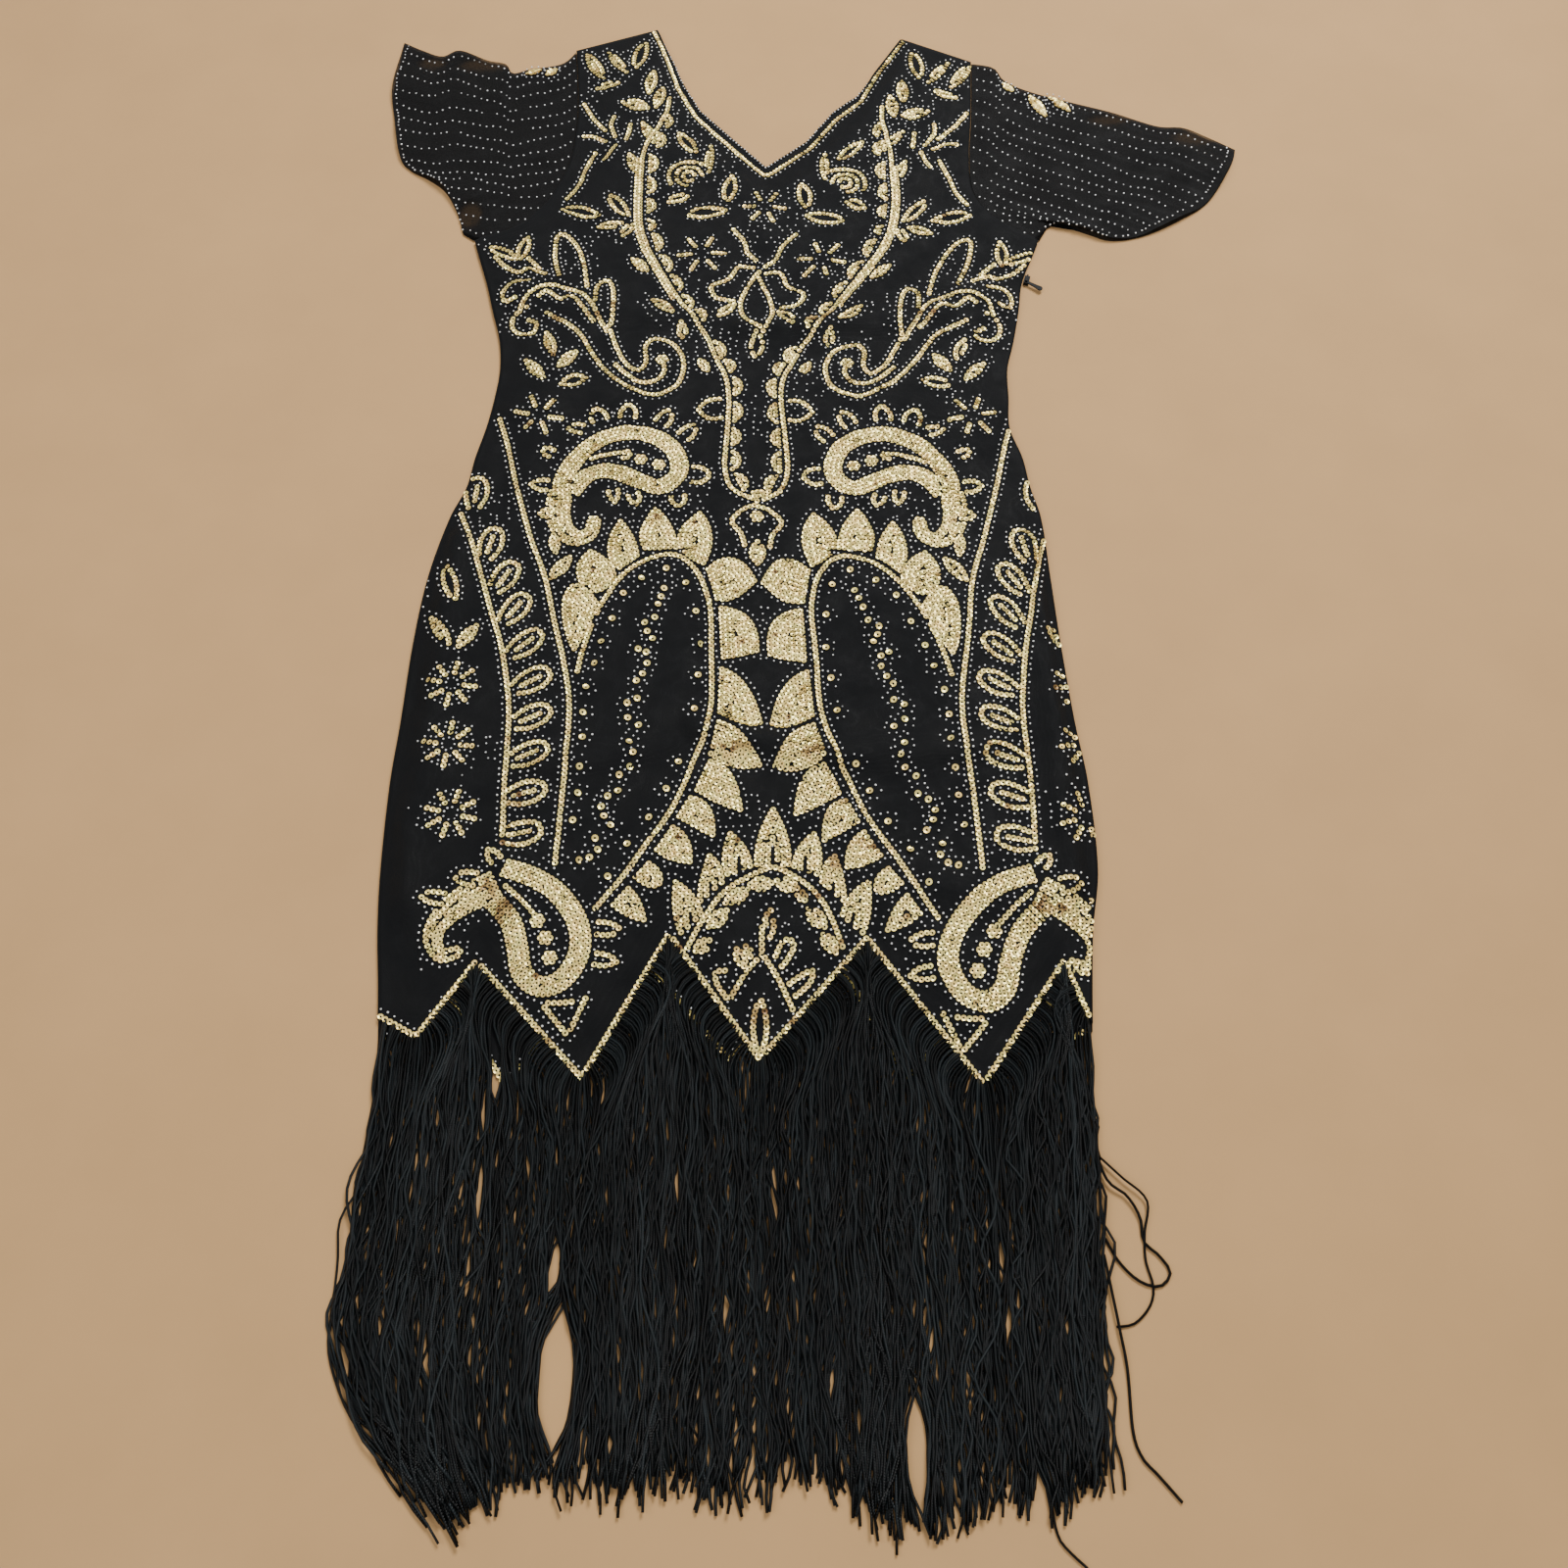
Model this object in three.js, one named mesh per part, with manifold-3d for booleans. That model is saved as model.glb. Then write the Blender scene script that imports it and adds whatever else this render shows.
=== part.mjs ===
// A flapper dress laid flat on its back: front and back panels, two sheer flutter sleeves,
// a cord fringe along each zigzag hem, and the slider and pull tab of the side zip.
// Millimetres, +Z up, the neck towards +Y. The dress rests on z = 0.
import * as THREE from "three";
import { mergeVertices } from "three/addons/utils/BufferGeometryUtils.js";
import Module from "manifold-3d";

const solids = await Module();
solids.setup();

// Pattern places are x from the centre front and down from the neck, both in mm.
const CLOTH_WALL = 1.5; // lined net with its sequins
const SHEER_WALL = 1.0;
const SEAM_GAP = 0.3;
const FRONT_UNDERSIDE = CLOTH_WALL + SEAM_GAP;
const ARMPIT = 256; // down from the neck

// The two armhole edges, from shoulder to armpit.
const ARMHOLES = [
  { down: 20, left: -172, right: 184 },
  { down: 60, left: -168, right: 182 },
  { down: 110, left: -165, right: 179 },
  { down: 160, left: -168, right: 175 },
  { down: 200, left: -179, right: 176 },
  { down: 225, left: -194, right: 188 },
  { down: 243, left: -212, right: 208 },
  { down: ARMPIT, left: -243, right: 228 },
];

// The two side seams, from armpit to hem.
const SIDES = [
  { down: ARMPIT, left: -243, right: 228 },
  { down: 270, left: -239, right: 223 },
  { down: 303, left: -229, right: 211 },
  { down: 335, left: -221, right: 206 },
  { down: 366, left: -213, right: 200 },
  { down: 396, left: -210, right: 193 },
  { down: 426, left: -212, right: 192 },
  { down: 455, left: -216, right: 191 },
  { down: 484, left: -222, right: 199 },
  { down: 512, left: -226, right: 203 },
  { down: 540, left: -236, right: 209 },
  { down: 593, left: -247, right: 212 },
  { down: 650, left: -252, right: 215 },
  { down: 717, left: -254, right: 220 },
  { down: 763, left: -256, right: 225 },
  { down: 829, left: -255, right: 226 },
  { down: 872, left: -252, right: 219 },
  { down: 912, left: -247, right: 215 },
  { down: 950, left: -243, right: 212 },
];

// The front's upper edge: left shoulder, neck point, V neck, neck point, right shoulder.
const UPPER_EDGE = [
  { x: -172, down: 26 },
  { x: -99, down: -2 },
  { x: -86, down: 36 },
  { x: -74, down: 76 },
  { x: -58, down: 110 },
  { x: -38, down: 134 },
  { x: 0, down: 179 },
  { x: 35, down: 148 },
  { x: 58, down: 112 },
  { x: 80, down: 90 },
  { x: 95, down: 56 },
  { x: 121, down: 10 },
  { x: 184, down: 41 },
];
const NECK_HALF_WIDTH = 100;
const BACK_NECK_RISE = 9; // how much higher the back's neckline shows inside the V
const BACK_NECK_TAPER = 30; // the rise fades over this width towards the neck points

// The front's zigzag hem, by its corners.
const HEM = [
  { x: -243, down: 934 },
  { x: -219, down: 947 },
  { x: -185, down: 896 },
  { x: -112, down: 974 },
  { x: -60, down: 877 },
  { x: 0, down: 962 },
  { x: 70, down: 880 },
  { x: 141, down: 978 },
  { x: 198, down: 896 },
  { x: 212, down: 936 },
];
// The back is the same cut turned over, and lies a little to the left of the front.
const BACK_SHIFT = -19;
const BACK_HEM = [
  { x: -243, down: 962 },
  ...HEM.slice(1)
    .reverse()
    .map(({ x, down }) => ({ x: BACK_SHIFT - x, down })),
  { x: 212, down: 941 },
];

// How full the front lies over the back, and its largest creases as soft ridges.
const SWELL = 3.5;
const SWELL_MARGIN = 45; // from an edge to the full swell
const FOLD_MARGIN = 10; // from an edge to a fold's full height
const FOLDS = [
  { x0: -165, down0: 332, x1: -45, down1: 349, rise: 3.5, spread: 11 }, // across the bust
  { x0: -15, down0: 357, x1: 105, down1: 352, rise: 5, spread: 11 },
  { x0: 70, down0: 333, x1: 172, down1: 345, rise: 3, spread: 10 },
  { x0: -205, down0: 322, x1: -150, down1: 298, rise: 3, spread: 11 }, // drag lines at the bust
  { x0: 185, down0: 330, x1: 128, down1: 300, rise: 3, spread: 11 },
  { x0: -195, down0: 440, x1: -120, down1: 424, rise: 2.5, spread: 12 }, // waist
  { x0: 95, down0: 430, x1: 176, down1: 452, rise: 2.5, spread: 12 },
  { x0: -150, down0: 752, x1: -66, down1: 738, rise: 3.5, spread: 11 }, // across the skirt
  { x0: -45, down0: 722, x1: 55, down1: 747, rise: 5.5, spread: 11 },
  { x0: 70, down0: 742, x1: 168, down1: 738, rise: 3.5, spread: 10 },
  { x0: -228, down0: 560, x1: -238, down1: 850, rise: 4, spread: 11 }, // down the sides
  { x0: 199, down0: 566, x1: 208, down1: 845, rise: 5, spread: 10 },
  { x0: -176, down0: 812, x1: -160, down1: 866, rise: 4, spread: 10 }, // above the hem
  { x0: 118, down0: 842, x1: 172, down1: 858, rise: 3, spread: 11 },
];

// Rows of the front's and the back's grids below the armpit. The front's are closer at the creases.
const FRONT_LEVELS = [
  280, 304, 322, 334, 346, 358, 372, 396, 424, 452, 480, 508, 536, 564, 592, 620, 648,
  676, 702, 720, 732, 744, 756, 772, 796, 824, 850, 868,
];
const BACK_LEVELS = [280, 304, 334, 372, 424, 480, 536, 592, 648, 702, 756, 824, 868];
const WIDEST_COLUMN = 0.088; // as a share of half the width
const NARROWEST_COLUMN = 0.015;
// Rows above the armpit, as shares of the way from the upper edge. The sleeves meet their ends.
const UPPER_ROWS = [0, 0.18, 0.36, 0.54, 0.7, 0.82, 0.92, 1];
const LOWER_ROWS = 4; // below the last level
const MEETING_PASSES = 20;

// The sleeves lie flat: the folded top edge, and the cuff from its top corner to the underarm.
const SLEEVES = {
  left: {
    top: [
      { x: -184, down: 41 },
      { x: -212, down: 48 },
      { x: -227, down: 53 },
      { x: -234, down: 41 },
      { x: -251, down: 36 },
      { x: -277, down: 23 },
      { x: -292, down: 31 },
      { x: -311, down: 23 },
    ],
    cuff: [
      { x: -328, down: 13 },
      { x: -330, down: 50 },
      { x: -331, down: 82 },
      { x: -325, down: 116 },
      { x: -316, down: 158 },
      { x: -305, down: 174 },
      { x: -288, down: 185 },
      { x: -273, down: 199 },
      { x: -261, down: 223 },
      { x: -253, down: 249 },
    ],
    folds: [
      { across: 0.2, rise: 3.5, spread: 0.09 },
      { across: 0.47, rise: 2.5, spread: 0.1 },
      { across: 0.76, rise: 4, spread: 0.08 },
    ],
  },
  right: {
    top: [
      { x: 203, down: 46 },
      { x: 212, down: 63 },
      { x: 234, down: 77 },
      { x: 268, down: 90 },
      { x: 304, down: 103 },
      { x: 341, down: 120 },
      { x: 364, down: 122 },
      { x: 383, down: 133 },
    ],
    cuff: [
      { x: 406, down: 149 },
      { x: 400, down: 168 },
      { x: 376, down: 210 },
      { x: 350, down: 231 },
      { x: 316, down: 250 },
      { x: 289, down: 255 },
      { x: 270, down: 247 },
      { x: 251, down: 235 },
      { x: 237, down: 240 },
    ],
    folds: [
      { across: 0.16, rise: 3, spread: 0.08 },
      { across: 0.5, rise: 2.5, spread: 0.1 },
      { across: 0.83, rise: 4.5, spread: 0.08 },
    ],
  },
};
const SLEEVE_HEIGHT = 2.6; // over both layers
const SLEEVE_RINGS = 9;
const SLEEVE_STEPS = 2 * (UPPER_ROWS.length - 1); // along each layer

// Fringe: a header strip along each hem, and locks of cord that lie down the floor.
const HEADER_GAP = 1; // down from the hem
const HEADER_DEPTH = 12;
const LOCKS = 64; // on each hem
const LOCK_LENGTH = 258;
const LOCK_LENGTH_SPREAD = 14;
const LOCK_WIDTH = 5.2;
const LOCK_END_WIDTH = 2;
const LOCK_STEPS = [0, 0.07, 0.32, 0.58, 0.8, 1];
const BACK_FRINGE = { bottom: 0.3, top: 1.5 };
const FRONT_FRINGE = { bottom: 1.8, top: 3.3 };
const LOCK_RISE = 0.4; // how far the front's locks stand over their header
const ROOT = { taper: 0.5, low: 0.25, high: 0.7 }; // a root's size inside the header
const LOCK_LOW = 0.1; // how far a lock's underside stands over the header's
const WANDER = 2;
const WANDER_PITCH = 23; // across the hem
const WANDER_TURN = 4; // radians along a lock
// The locks at the left edge bow out and then swing in, as a share of SWING.
const SWING = 45;
const SWING_REACH = 130; // how far from the left edge the swing is felt
const SWING_COURSE = [
  { along: 0, out: 0 },
  { along: 0.55, out: -0.1 },
  { along: 0.7, out: -0.19 },
  { along: 0.82, out: 0.05 },
  { along: 0.94, out: 0.42 },
  { along: 1, out: 0.85 },
];
// Single cords that stray from the rest.
const STRAYS = [
  [
    { x: 210, down: 943 },
    { x: 216, down: 990 },
    { x: 219, down: 1044 },
    { x: 235, down: 1058 },
    { x: 246, down: 1076 },
    { x: 250, down: 1092 },
    { x: 239, down: 1106 },
    { x: 224, down: 1114 },
    { x: 221, down: 1150 },
    { x: 227, down: 1180 },
    { x: 239, down: 1213 },
  ],
  [
    { x: 139, down: 984 },
    { x: 140, down: 1080 },
    { x: 145, down: 1170 },
    { x: 158, down: 1218 },
    { x: 170, down: 1234 },
    { x: 184, down: 1248 },
  ],
];
const STRAY_WIDTH = 2.2;

// Side zip: the slider stands at the top of the right side seam.
const ZIP_DOWN = 303;
const SLIDER = { width: 4.4, length: 9, bottom: 0.3, top: 2.3 };
const PIN_RADIUS = 0.7;
const EYE_CLEARANCE = 0.5;
const EYE_WALL = 0.9;
const PULL_THICKNESS = 1;
const PULL_BOTTOM = 2.7;
const PULL_LENGTH = 13; // from the pin to the middle of its round end
const PULL_END_RADIUS = 2.1;
const PULL_NECK = 1.2; // half its width beside the eye
const PULL_ANGLE = -35; // degrees from +X as it lies
const BRIDGE = { bottom: 4.2, top: 5.2, width: 1.5, reach: 6 };
const WELD = 0.2; // how far the slider's pieces run into each other

const beaded = new THREE.MeshStandardMaterial({ color: 0x14141a, roughness: 0.75 });
const sheer = new THREE.MeshStandardMaterial({ color: 0x1c1a1a, roughness: 0.85 });
const cord = new THREE.MeshStandardMaterial({ color: 0x0b0d12, roughness: 0.6 });
const lacquer = new THREE.MeshStandardMaterial({
  color: 0x101012,
  roughness: 0.35,
  metalness: 0.6,
});

const ease = (t) => t * t * (3 - 2 * t);
const clamp01 = (t) => Math.min(Math.max(t, 0), 1);
const mix = (a, b, t) => a + (b - a) * t;
// A repeatable scatter from 0 to 1.
const scatter = (n) => {
  const s = Math.sin(n * 127.1 + 11.7) * 43758.5453;
  return s - Math.floor(s);
};

// The row before a place, and the share of the way to the next.
function between(rows, key, at) {
  let i = 0;
  while (i < rows.length - 2 && rows[i + 1][key] < at) i += 1;
  const span = rows[i + 1][key] - rows[i][key];
  return [i, clamp01((at - rows[i][key]) / span)];
}

function straight(rows, key, column, at) {
  const [i, t] = between(rows, key, at);
  return mix(rows[i][column], rows[i + 1][column], t);
}

// A smooth curve through a table's rows.
function smooth(rows, key, column, at) {
  const [i, t] = between(rows, key, at);
  const slope = (k) => {
    const a = rows[Math.max(k - 1, 0)];
    const b = rows[Math.min(k + 1, rows.length - 1)];
    return (b[column] - a[column]) / (b[key] - a[key]);
  };
  const span = rows[i + 1][key] - rows[i][key];
  const u = 1 - t;
  return (
    rows[i][column] * u * u * (1 + 2 * t) +
    rows[i + 1][column] * t * t * (3 - 2 * t) +
    slope(i) * span * t * u * u -
    slope(i + 1) * span * t * t * u
  );
}

const edgeAt = (side, down) =>
  smooth(down < ARMPIT ? ARMHOLES : SIDES, "down", side, down);
const frontTop = (x) => straight(UPPER_EDGE, "x", "down", x);
const backTop = (x) =>
  frontTop(x) -
  BACK_NECK_RISE * ease(clamp01((NECK_HALF_WIDTH - Math.abs(x)) / BACK_NECK_TAPER));

function distanceToFold(fold, x, down) {
  const along = new THREE.Vector2(fold.x1 - fold.x0, fold.down1 - fold.down0);
  const from = new THREE.Vector2(x - fold.x0, down - fold.down0);
  const t = clamp01(from.dot(along) / along.lengthSq());
  return from.addScaledVector(along, -t).length();
}

// How far the front is lifted off the back at a place.
function frontLift(x, down) {
  const inside = Math.min(
    x - edgeAt("left", down),
    edgeAt("right", down) - x,
    down - frontTop(x),
    straight(HEM, "x", "down", x) - down,
  );
  let lift = SWELL * ease(clamp01(inside / SWELL_MARGIN));
  for (const fold of FOLDS) {
    const d = distanceToFold(fold, x, down) / fold.spread;
    lift += fold.rise * Math.exp(-d * d) * ease(clamp01(inside / FOLD_MARGIN));
  }
  return lift;
}

// Columns run down the panel. One is a side and its share of the way from the edge to the centre.
const columnX = (column, down) => edgeAt(column.side, down) * (1 - column.share);

function panelColumns(hem) {
  const corners = [...hem, ...UPPER_EDGE.slice(1, 2), ...UPPER_EDGE.slice(-2, -1)];
  const halves = ["left", "right"].map((side) => {
    const shares = corners
      .map(({ x, down }) => 1 - x / edgeAt(side, down))
      .filter((share) => share > NARROWEST_COLUMN && share < 1 - NARROWEST_COLUMN)
      .sort((a, b) => a - b)
      .filter((share, i, all) => i === 0 || share - all[i - 1] > NARROWEST_COLUMN);
    const stops = [0, ...shares, 1];
    const filled = [0];
    stops.slice(1).forEach((stop, i) => {
      const parts = Math.ceil((stop - stops[i]) / WIDEST_COLUMN);
      for (let k = 1; k <= parts; k += 1) filled.push(mix(stops[i], stop, k / parts));
    });
    return filled.map((share) => ({ side, share }));
  });
  return [...halves[0], ...halves[1].slice(0, -1).reverse()];
}

// Where a column meets an edge that is given as down for each x, found by going back and forth.
function meeting(column, edge) {
  let down = edge(0);
  for (let i = 0; i < MEETING_PASSES; i += 1) down = edge(columnX(column, down));
  return down;
}

// A panel's points, row by row, as [x, down].
function panelGrid({ top, hem, levels }) {
  const hemAt = (x) => straight(hem, "x", "down", x);
  const columns = panelColumns(hem).map((column) => {
    const start = meeting(column, top);
    const end = meeting(column, hemAt);
    const downs = [...UPPER_ROWS.map((share) => mix(start, ARMPIT, share)), ...levels];
    for (let i = 1; i <= LOWER_ROWS; i += 1)
      downs.push(mix(levels.at(-1), end, i / LOWER_ROWS));
    return downs.map((down) => [columnX(column, down), down]);
  });
  return columns[0].map((_, row) => columns.map((column) => column[row]));
}

function geometryOf(positions, index) {
  const geometry = new THREE.BufferGeometry();
  geometry.setAttribute("position", new THREE.Float32BufferAttribute(positions, 3));
  geometry.setIndex(index);
  geometry.computeVertexNormals();
  return geometry;
}

// A closed wall between an upper and a lower skin over one grid.
function wallOver(grid, upper, lower) {
  const rows = grid.length;
  const columns = grid[0].length;
  const positions = [];
  for (const height of [upper, lower])
    for (const row of grid)
      for (const [x, down] of row) positions.push(x, -down, height(x, down));
  const at = (layer, i, j) => (layer * rows + i) * columns + j;
  const index = [];
  const quad = (a, b, c, d) => index.push(a, b, c, a, c, d);
  for (let i = 0; i < rows - 1; i += 1)
    for (let j = 0; j < columns - 1; j += 1) {
      quad(at(0, i, j), at(0, i + 1, j), at(0, i + 1, j + 1), at(0, i, j + 1));
      quad(at(1, i, j), at(1, i, j + 1), at(1, i + 1, j + 1), at(1, i + 1, j));
    }
  for (let j = 0; j < columns - 1; j += 1) {
    quad(at(0, 0, j), at(0, 0, j + 1), at(1, 0, j + 1), at(1, 0, j));
    quad(at(0, rows - 1, j + 1), at(0, rows - 1, j), at(1, rows - 1, j), at(1, rows - 1, j + 1));
  }
  for (let i = 0; i < rows - 1; i += 1) {
    quad(at(0, i + 1, 0), at(0, i, 0), at(1, i, 0), at(1, i + 1, 0));
    quad(
      at(0, i, columns - 1),
      at(0, i + 1, columns - 1),
      at(1, i + 1, columns - 1),
      at(1, i, columns - 1),
    );
  }
  return geometryOf(positions, index);
}

function frontPanel() {
  const grid = panelGrid({ top: frontTop, hem: HEM, levels: FRONT_LEVELS });
  const under = (x, down) => FRONT_UNDERSIDE + frontLift(x, down);
  return wallOver(grid, (x, down) => under(x, down) + CLOTH_WALL, under);
}

function backPanel() {
  const grid = panelGrid({ top: backTop, hem: BACK_HEM, levels: BACK_LEVELS });
  return wallOver(
    grid,
    () => CLOTH_WALL,
    () => 0,
  );
}

const splineThrough = (rows) =>
  new THREE.SplineCurve(rows.map(({ x, down }) => new THREE.Vector2(x, down)));

// The flat shape of a sleeve between its armhole, cuff, top edge and underarm:
// along goes from armhole to cuff, across from the top edge to the underarm.
function sleevePatch(side) {
  const { top, cuff } = SLEEVES[side];
  const outward = side === "left" ? -1 : 1;
  const shoulder = side === "left" ? UPPER_EDGE[0].down : UPPER_EDGE.at(-1).down;
  const seam = UPPER_ROWS.map((share) => {
    const down = mix(shoulder, ARMPIT, share);
    return { share, down, x: edgeAt(side, down) + outward * 2 * SEAM_GAP };
  });
  const armhole = (across) =>
    new THREE.Vector2(
      straight(seam, "share", "x", across),
      straight(seam, "share", "down", across),
    );
  const [start, end] = [armhole(0), armhole(1)];
  const topEdge = splineThrough([{ x: start.x, down: start.y }, ...top, cuff[0]]);
  const cuffEdge = splineThrough(cuff);
  const underarm = new THREE.LineCurve(end, cuffEdge.getPoint(1));
  return (along, across) => {
    const sum = new THREE.Vector2();
    const add = (point, share) => sum.addScaledVector(point, share);
    add(armhole(across), 1 - along);
    add(cuffEdge.getPointAt(across), along);
    add(topEdge.getPointAt(along), 1 - across);
    add(underarm.getPointAt(along), across);
    add(start, -(1 - along) * (1 - across));
    add(end, -(1 - along) * across);
    add(cuffEdge.getPoint(0), -along * (1 - across));
    add(cuffEdge.getPoint(1), -along * across);
    return sum;
  };
}

// How far a sleeve's upper layer is lifted: soft folds that open towards the cuff.
function sleeveLift(side, along, across) {
  let lift = 0;
  for (const fold of SLEEVES[side].folds) {
    const d = (across - fold.across) / fold.spread;
    lift += fold.rise * ease(along) * Math.exp(-d * d);
  }
  return lift;
}

// Two steps for each row of the armhole.
function acrossAt(way) {
  const row = way * (UPPER_ROWS.length - 1);
  const i = Math.min(Math.floor(row), UPPER_ROWS.length - 2);
  return mix(UPPER_ROWS[i], UPPER_ROWS[i + 1], row - i);
}

// A flattened open tube: each ring runs over the upper layer and back under it,
// outside and inside.
function sleeve(side) {
  const patch = sleevePatch(side);
  const rounds = 2 * SLEEVE_STEPS;
  const positions = [];
  for (const inset of [0, 1])
    for (let i = 0; i <= SLEEVE_RINGS; i += 1) {
      const along = i / SLEEVE_RINGS;
      const tuck = (2 * SHEER_WALL * inset) / patch(along, 0).distanceTo(patch(along, 1));
      for (let k = 0; k < rounds; k += 1) {
        const way = k / SLEEVE_STEPS;
        const across = acrossAt(way <= 1 ? way : 2 - way);
        const point = patch(along, mix(tuck, 1 - tuck, across));
        let z = SLEEVE_HEIGHT / 2;
        if (way > 0 && way < 1)
          z = SLEEVE_HEIGHT + sleeveLift(side, along, across) - inset * SHEER_WALL;
        if (way > 1) z = inset * SHEER_WALL;
        positions.push(point.x, -point.y, z);
      }
    }
  const at = (layer, i, k) => (layer * (SLEEVE_RINGS + 1) + i) * rounds + (k % rounds);
  const index = [];
  const quad = (a, b, c, d) => {
    if (side === "left") index.push(a, b, c, a, c, d);
    else index.push(a, c, b, a, d, c);
  };
  for (let k = 0; k < rounds; k += 1) {
    for (let i = 0; i < SLEEVE_RINGS; i += 1) {
      quad(at(0, i, k), at(0, i + 1, k), at(0, i + 1, k + 1), at(0, i, k + 1));
      quad(at(1, i, k), at(1, i, k + 1), at(1, i + 1, k + 1), at(1, i + 1, k));
    }
    quad(at(0, 0, k), at(0, 0, k + 1), at(1, 0, k + 1), at(1, 0, k));
    quad(
      at(0, SLEEVE_RINGS, k + 1),
      at(0, SLEEVE_RINGS, k),
      at(1, SLEEVE_RINGS, k),
      at(1, SLEEVE_RINGS, k + 1),
    );
  }
  return geometryOf(positions, index);
}

// A chain of sections, each a ring of the same number of points, closed at both ends.
function chain(sections) {
  const sides = sections[0].length;
  const positions = sections.flat(2);
  const at = (i, k) => i * sides + (k % sides);
  const index = [];
  for (let i = 0; i < sections.length - 1; i += 1)
    for (let k = 0; k < sides; k += 1)
      index.push(
        ...[at(i, k), at(i, k + 1), at(i + 1, k + 1)],
        ...[at(i, k), at(i + 1, k + 1), at(i + 1, k)],
      );
  const last = sections.length - 1;
  for (let k = 1; k < sides - 1; k += 1)
    index.push(at(0, 0), at(0, k + 1), at(0, k), at(last, 0), at(last, k), at(last, k + 1));
  return geometryOf(positions, index);
}

function header(hem, { bottom, top }) {
  return chain(
    hem.map(({ x, down }) => {
      const upper = -(down + HEADER_GAP);
      const lower = upper - HEADER_DEPTH;
      return [
        [x, lower, bottom],
        [x, upper, bottom],
        [x, upper, top],
        [x, lower, top],
      ];
    }),
  );
}

// A three-sided cord or lock along places on the floor. Its root is thinner, inside the header.
function lock(places, width, { bottom, top }) {
  return chain(
    places.map(({ x, down, taper }, i) => {
      const before = places[Math.max(i - 1, 0)];
      const after = places[Math.min(i + 1, places.length - 1)];
      const way = new THREE.Vector2(after.x - before.x, before.down - after.down);
      way.normalize();
      const half = (width * taper) / 2;
      const low = bottom + (i === 0 ? ROOT.low : LOCK_LOW);
      const high = i === 0 ? mix(bottom, top, ROOT.high) : top;
      return [
        [x - way.y * half, -down + way.x * half, low],
        [x, -down, high],
        [x + way.y * half, -down - way.x * half, low],
      ];
    }),
  );
}

// How far a lock that starts at x has swung at a share of its length.
function sway(x, along) {
  const near = ease(clamp01(1 - (x - HEM[0].x) / SWING_REACH));
  const swing = SWING * near * smooth(SWING_COURSE, "along", "out", along);
  return swing + WANDER * along * Math.sin(x / WANDER_PITCH + WANDER_TURN * along);
}

function locks(hem, heights, seed) {
  const first = hem[0].x + LOCK_WIDTH;
  const last = hem.at(-1).x - LOCK_WIDTH;
  const made = [];
  for (let i = 0; i < LOCKS; i += 1) {
    const x = mix(first, last, i / (LOCKS - 1));
    const root = straight(hem, "x", "down", x) + HEADER_GAP + HEADER_DEPTH / 2;
    const length = LOCK_LENGTH + LOCK_LENGTH_SPREAD * (scatter(i + seed) - 0.5);
    const places = LOCK_STEPS.map((along) => ({
      x: x + sway(x, along),
      down: root + length * along,
      taper: along === 0 ? ROOT.taper : mix(1, LOCK_END_WIDTH / LOCK_WIDTH, along),
    }));
    made.push(lock(places, LOCK_WIDTH, heights));
  }
  return made;
}

function solidOf(geometry) {
  const merged = geometry.clone();
  merged.deleteAttribute("normal");
  merged.deleteAttribute("uv");
  const { attributes, index } = mergeVertices(merged);
  return new solids.Manifold(
    new solids.Mesh({
      numProp: 3,
      vertProperties: new Float32Array(attributes.position.array),
      triVerts: new Uint32Array(index.array),
    }),
  );
}

function joined(geometries) {
  const { numProp, vertProperties, triVerts } = geometries
    .map(solidOf)
    .reduce((all, next) => all.add(next))
    .getMesh();
  const positions = [];
  for (let i = 0; i < vertProperties.length; i += numProp)
    positions.push(...vertProperties.subarray(i, i + 3));
  return geometryOf(positions, [...triVerts]);
}

function frontFringe() {
  const heights = { ...FRONT_FRINGE, top: FRONT_FRINGE.top + LOCK_RISE };
  const strays = STRAYS.map((rows) => {
    const places = rows.map((row, i) => ({ ...row, taper: i === 0 ? ROOT.taper : 1 }));
    return lock(places, STRAY_WIDTH, { ...heights, top: heights.top + LOCK_RISE });
  });
  return joined([header(HEM, FRONT_FRINGE), ...locks(HEM, heights, 0), ...strays]);
}

function backFringe() {
  return joined([header(BACK_HEM, BACK_FRINGE), ...locks(BACK_HEM, BACK_FRINGE, LOCKS)]);
}

function block([x0, y0, z0], [x1, y1, z1]) {
  const box = new THREE.BoxGeometry(x1 - x0, y1 - y0, z1 - z0);
  return box.translate((x0 + x1) / 2, (y0 + y1) / 2, (z0 + z1) / 2);
}

// The slider about its pin: a flat body, the pin and the bridge that keeps the pull on it.
function zipSlider() {
  const { width, length, bottom, top } = SLIDER;
  const half = BRIDGE.width / 2;
  const pinHeight = BRIDGE.top - top;
  const pin = new THREE.CylinderGeometry(PIN_RADIUS, PIN_RADIUS, pinHeight, 16);
  pin.rotateX(Math.PI / 2).translate(0, 0, top - WELD + pinHeight / 2);
  const tail = (length - BRIDGE.reach) / 2;
  return joined([
    block([-width / 2, -tail, bottom], [width / 2, length - tail, top]),
    pin,
    block([-half, -half, BRIDGE.bottom], [half, BRIDGE.reach, BRIDGE.top]),
    block(
      [-half, BRIDGE.reach - BRIDGE.width, top - WELD],
      [half, BRIDGE.reach, BRIDGE.bottom + WELD],
    ),
  ]);
}

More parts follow.
